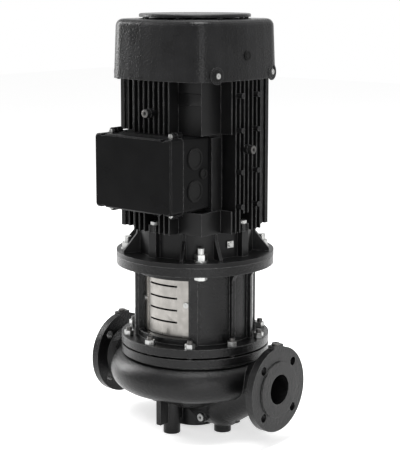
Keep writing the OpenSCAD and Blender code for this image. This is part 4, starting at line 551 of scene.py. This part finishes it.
studs = solids_of("housing_studs")
nut_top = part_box("housing_nuts")[1][2]
threads("housing_stud_threads", free_ends(studs, nut_top), stud_radius(studs[0]), "dark_stud")


# The shallow pressed rings that the fan cover's screws sit in

DIMPLE_PROFILE = (
    (13.4, -1.6),
    (13.6, 0.1),
    (14.6, 0.75),
    (15.8, 1.0),
    (17.0, 0.75),
    (18.4, 0.1),
    (18.8, -1.6),
)

turned("cover_screw_dimples", [(radius * MM, height * MM) for radius, height in DIMPLE_PROFILE],
       heads_of("fan_cover_screws", length_way), "hood_paint", 64)


# A washer round each guard screw's head

WASHER_ROWS = (
    (0.7, 0, -0.2),
    (0.7, 0, 0.7),
    (1.42, 0, 0.7),
    (1.5, 0, 0.5),
    (1.5, 0, -0.2),
)

guard_heads = heads_of("guard_screws", outward_way)
turned("guard_screw_washers", fitted(guard_heads[0], WASHER_ROWS), guard_heads, "zinc", 40)


# The rolled rim of each plug in the terminal box's cable holes

CABLE_PLUG_ROWS = (
    (0.9, 0, 0.3),
    (0.92, 1, 0),
    (0.97, 1, 0.7),
    (1.04, 1, 0.4),
    (1.08, 0.4, 0),
    (1.08, 0, -0.3),
)

for index, head in enumerate(heads_of("cable_plugs", side_way)):
    turned("cable_plug_rim_%d" % (index + 1), fitted(head, CABLE_PLUG_ROWS), [head], "black_plastic", 56)


# The bright flange round each plug in the frame's lifting-eye bosses

LIFTING_PLUG_ROWS = (
    (0.34, 1, -0.6),
    (0.36, 1, 0.5),
    (0.46, 1, 1.0),
    (0.74, 1, 1.0),
    (0.84, 1, 0.5),
    (0.85, 1, -0.6),
)

plug_heads = heads_of("lifting_plugs", outward_way)
turned("lifting_plug_rims", fitted(plug_heads[0], LIFTING_PLUG_ROWS), plug_heads, "dark_stud", 40)


# The bare raised rectangle on the frame's near corner, with its soft edge

PLATE_LEFT = 52 * MM
PLATE_RIGHT = 114 * MM
PLATE_LOW = 734 * MM
PLATE_HIGH = 760 * MM
PLATE_BACK = -115 * MM
PLATE_CORNER = 2.5 * MM
PLATE_CORNER_STEPS = 6
PLATE_OUTLINES = ((0.0, -0.6), (0.0, 0.9), (0.35, 1.35), (1.0, 1.6))   # mm inwards, mm out


def plate_place():
    left = PLATE_LEFT + PLATE_CORNER
    right = PLATE_RIGHT - PLATE_CORNER
    low = PLATE_LOW + PLATE_CORNER
    high = PLATE_HIGH - PLATE_CORNER
    corners = ((right, high, 0), (left, high, 90), (left, low, 180), (right, low, 270))
    verts = []
    for inwards, out in PLATE_OUTLINES:
        radius = PLATE_CORNER - inwards * MM
        for x, z, first in corners:
            for k in range(PLATE_CORNER_STEPS + 1):
                a = math.radians(first + 90 * k / PLATE_CORNER_STEPS)
                verts.append((x + radius * math.cos(a), PLATE_BACK - out * MM, z + radius * math.sin(a)))
    count = len(corners) * (PLATE_CORNER_STEPS + 1)
    face = (len(PLATE_OUTLINES) - 1) * count
    faces = [tuple(range(count)), tuple(face + i for i in reversed(range(count)))]
    faces += bands(0, len(PLATE_OUTLINES), count)
    add_piece("plate_place", verts, faces, "motor_paint")


plate_place()


# Floor, background and light

WHITE = (1.0, 1.0, 1.0, 1.0)
PALE = (0.82, 0.82, 0.82, 1.0)
FLOOR_HALF = 9.0
FLOOR_DROP = 0.2 * MM
FLOOR_ROUGH = 0.9
FLOOR_GLOW = 0.6              # where the camera, metal or glass sees the floor
ROOM_LIGHT = (0.45, 1.0)      # the world's light on the object, and the background as seen


def seen_ray(tree):
    """1 for the camera's rays and for what metal or glass shows, and 0 for light on the object."""
    path = put(tree, "ShaderNodeLightPath")
    shown = maths(tree, "MAXIMUM", path.outputs["Is Glossy Ray"], path.outputs["Is Transmission Ray"])
    return maths(tree, "MAXIMUM", path.outputs["Is Camera Ray"], shown)


def floor():
    """A pale floor that is white to the camera and keeps the object's shadow."""
    half = FLOOR_HALF
    corners = [(-half, -half, 0), (half, -half, 0), (half, half, 0), (-half, half, 0)]
    mesh = bpy.data.meshes.new("floor")
    mesh.from_pydata(corners, [], [(0, 1, 2, 3)])
    plane = bpy.data.objects.new("floor", mesh)
    plane.location.z = -FLOOR_DROP
    bpy.context.scene.collection.objects.link(plane)
    material, tree, shader = new_finish("pale_floor")
    shader.inputs["Base Color"].default_value = PALE
    shader.inputs["Roughness"].default_value = FLOOR_ROUGH
    shader.inputs["Specular IOR Level"].default_value = 0.0
    shader.inputs["Emission Color"].default_value = WHITE
    glow = maths(tree, "MULTIPLY", seen_ray(tree), FLOOR_GLOW)
    tree.links.new(glow, shader.inputs["Emission Strength"])
    mesh.materials.append(material)


def world():
    """Soft light from all round, and a white background."""
    surround = bpy.data.worlds.new("studio")
    bpy.context.scene.world = surround
    surround.use_nodes = True
    tree = surround.node_tree
    background = tree.nodes["Background"]
    background.inputs["Color"].default_value = WHITE
    tree.links.new(spread(tree, seen_ray(tree), WHOLE, ROOM_LIGHT), background.inputs["Strength"])


def soft_lamp(name, place, aim, size, power):
    """A large soft box, its width and height in metres and its power in watts."""
    light = bpy.data.lights.new(name, "AREA")
    light.shape = "RECTANGLE"
    light.size = size[0]
    light.size_y = size[1]
    light.energy = power
    lamp = bpy.data.objects.new(name, light)
    lamp.location = place
    lamp.rotation_euler = (Vector(aim) - Vector(place)).to_track_quat("-Z", "Y").to_euler()
    bpy.context.scene.collection.objects.link(lamp)


# The camera, fitted to the photograph's flange ellipses and straight edges

CAMERA_TURN = math.radians(40.082)
CAMERA_DOWN = math.radians(8.021)
CAMERA_REACH = 2.842793
CAMERA_HEIGHT = 0.986961
CAMERA_ASIDE = 0.010962
LENS_SHARE = 1298.693 / 450   # the lens's length over the picture's height, both in pixels
SENSOR = 36.0
SHIFT_UP = 0.13
SIGHT_END = 60.0


def camera():
    """The camera at the photograph's viewing angle."""
    lens = bpy.data.cameras.new("camera")
    lens.sensor_fit = "AUTO"
    lens.sensor_width = SENSOR
    lens.lens = LENS_SHARE * SENSOR
    lens.shift_y = -SHIFT_UP
    lens.clip_end = SIGHT_END
    eye = bpy.data.objects.new("camera", lens)
    away = Vector((math.sin(CAMERA_TURN), -math.cos(CAMERA_TURN), 0))
    right = Vector((math.cos(CAMERA_TURN), math.sin(CAMERA_TURN), 0))
    back = away * math.cos(CAMERA_DOWN) + Vector((0, 0, math.sin(CAMERA_DOWN)))
    up = back.cross(right)
    place = away * CAMERA_REACH + right * CAMERA_ASIDE
    place.z = CAMERA_HEIGHT
    eye.matrix_world = Matrix.Translation(place) @ Matrix((right, up, back)).transposed().to_4x4()
    bpy.context.scene.collection.objects.link(eye)
    bpy.context.scene.camera = eye


camera()
floor()
world()
soft_lamp("left_box", place=(-3.3, -0.5, 1.7), aim=(0, 0, 0.5), size=(1.2, 2.4), power=110)
soft_lamp("front_strip", place=(2.5, -2.05, 1.1), aim=(0, 0, 0.6), size=(0.14, 2.2), power=31)
soft_lamp("right_box", place=(3.4, 0.2, 1.6), aim=(0, 0, 0.5), size=(0.5, 2.0), power=5)
soft_lamp("top_box", place=(0.2, -0.3, 3.4), aim=(0, 0, 0.5), size=(1.8, 1.8), power=120)

bpy.context.scene.view_settings.view_transform = "Standard"
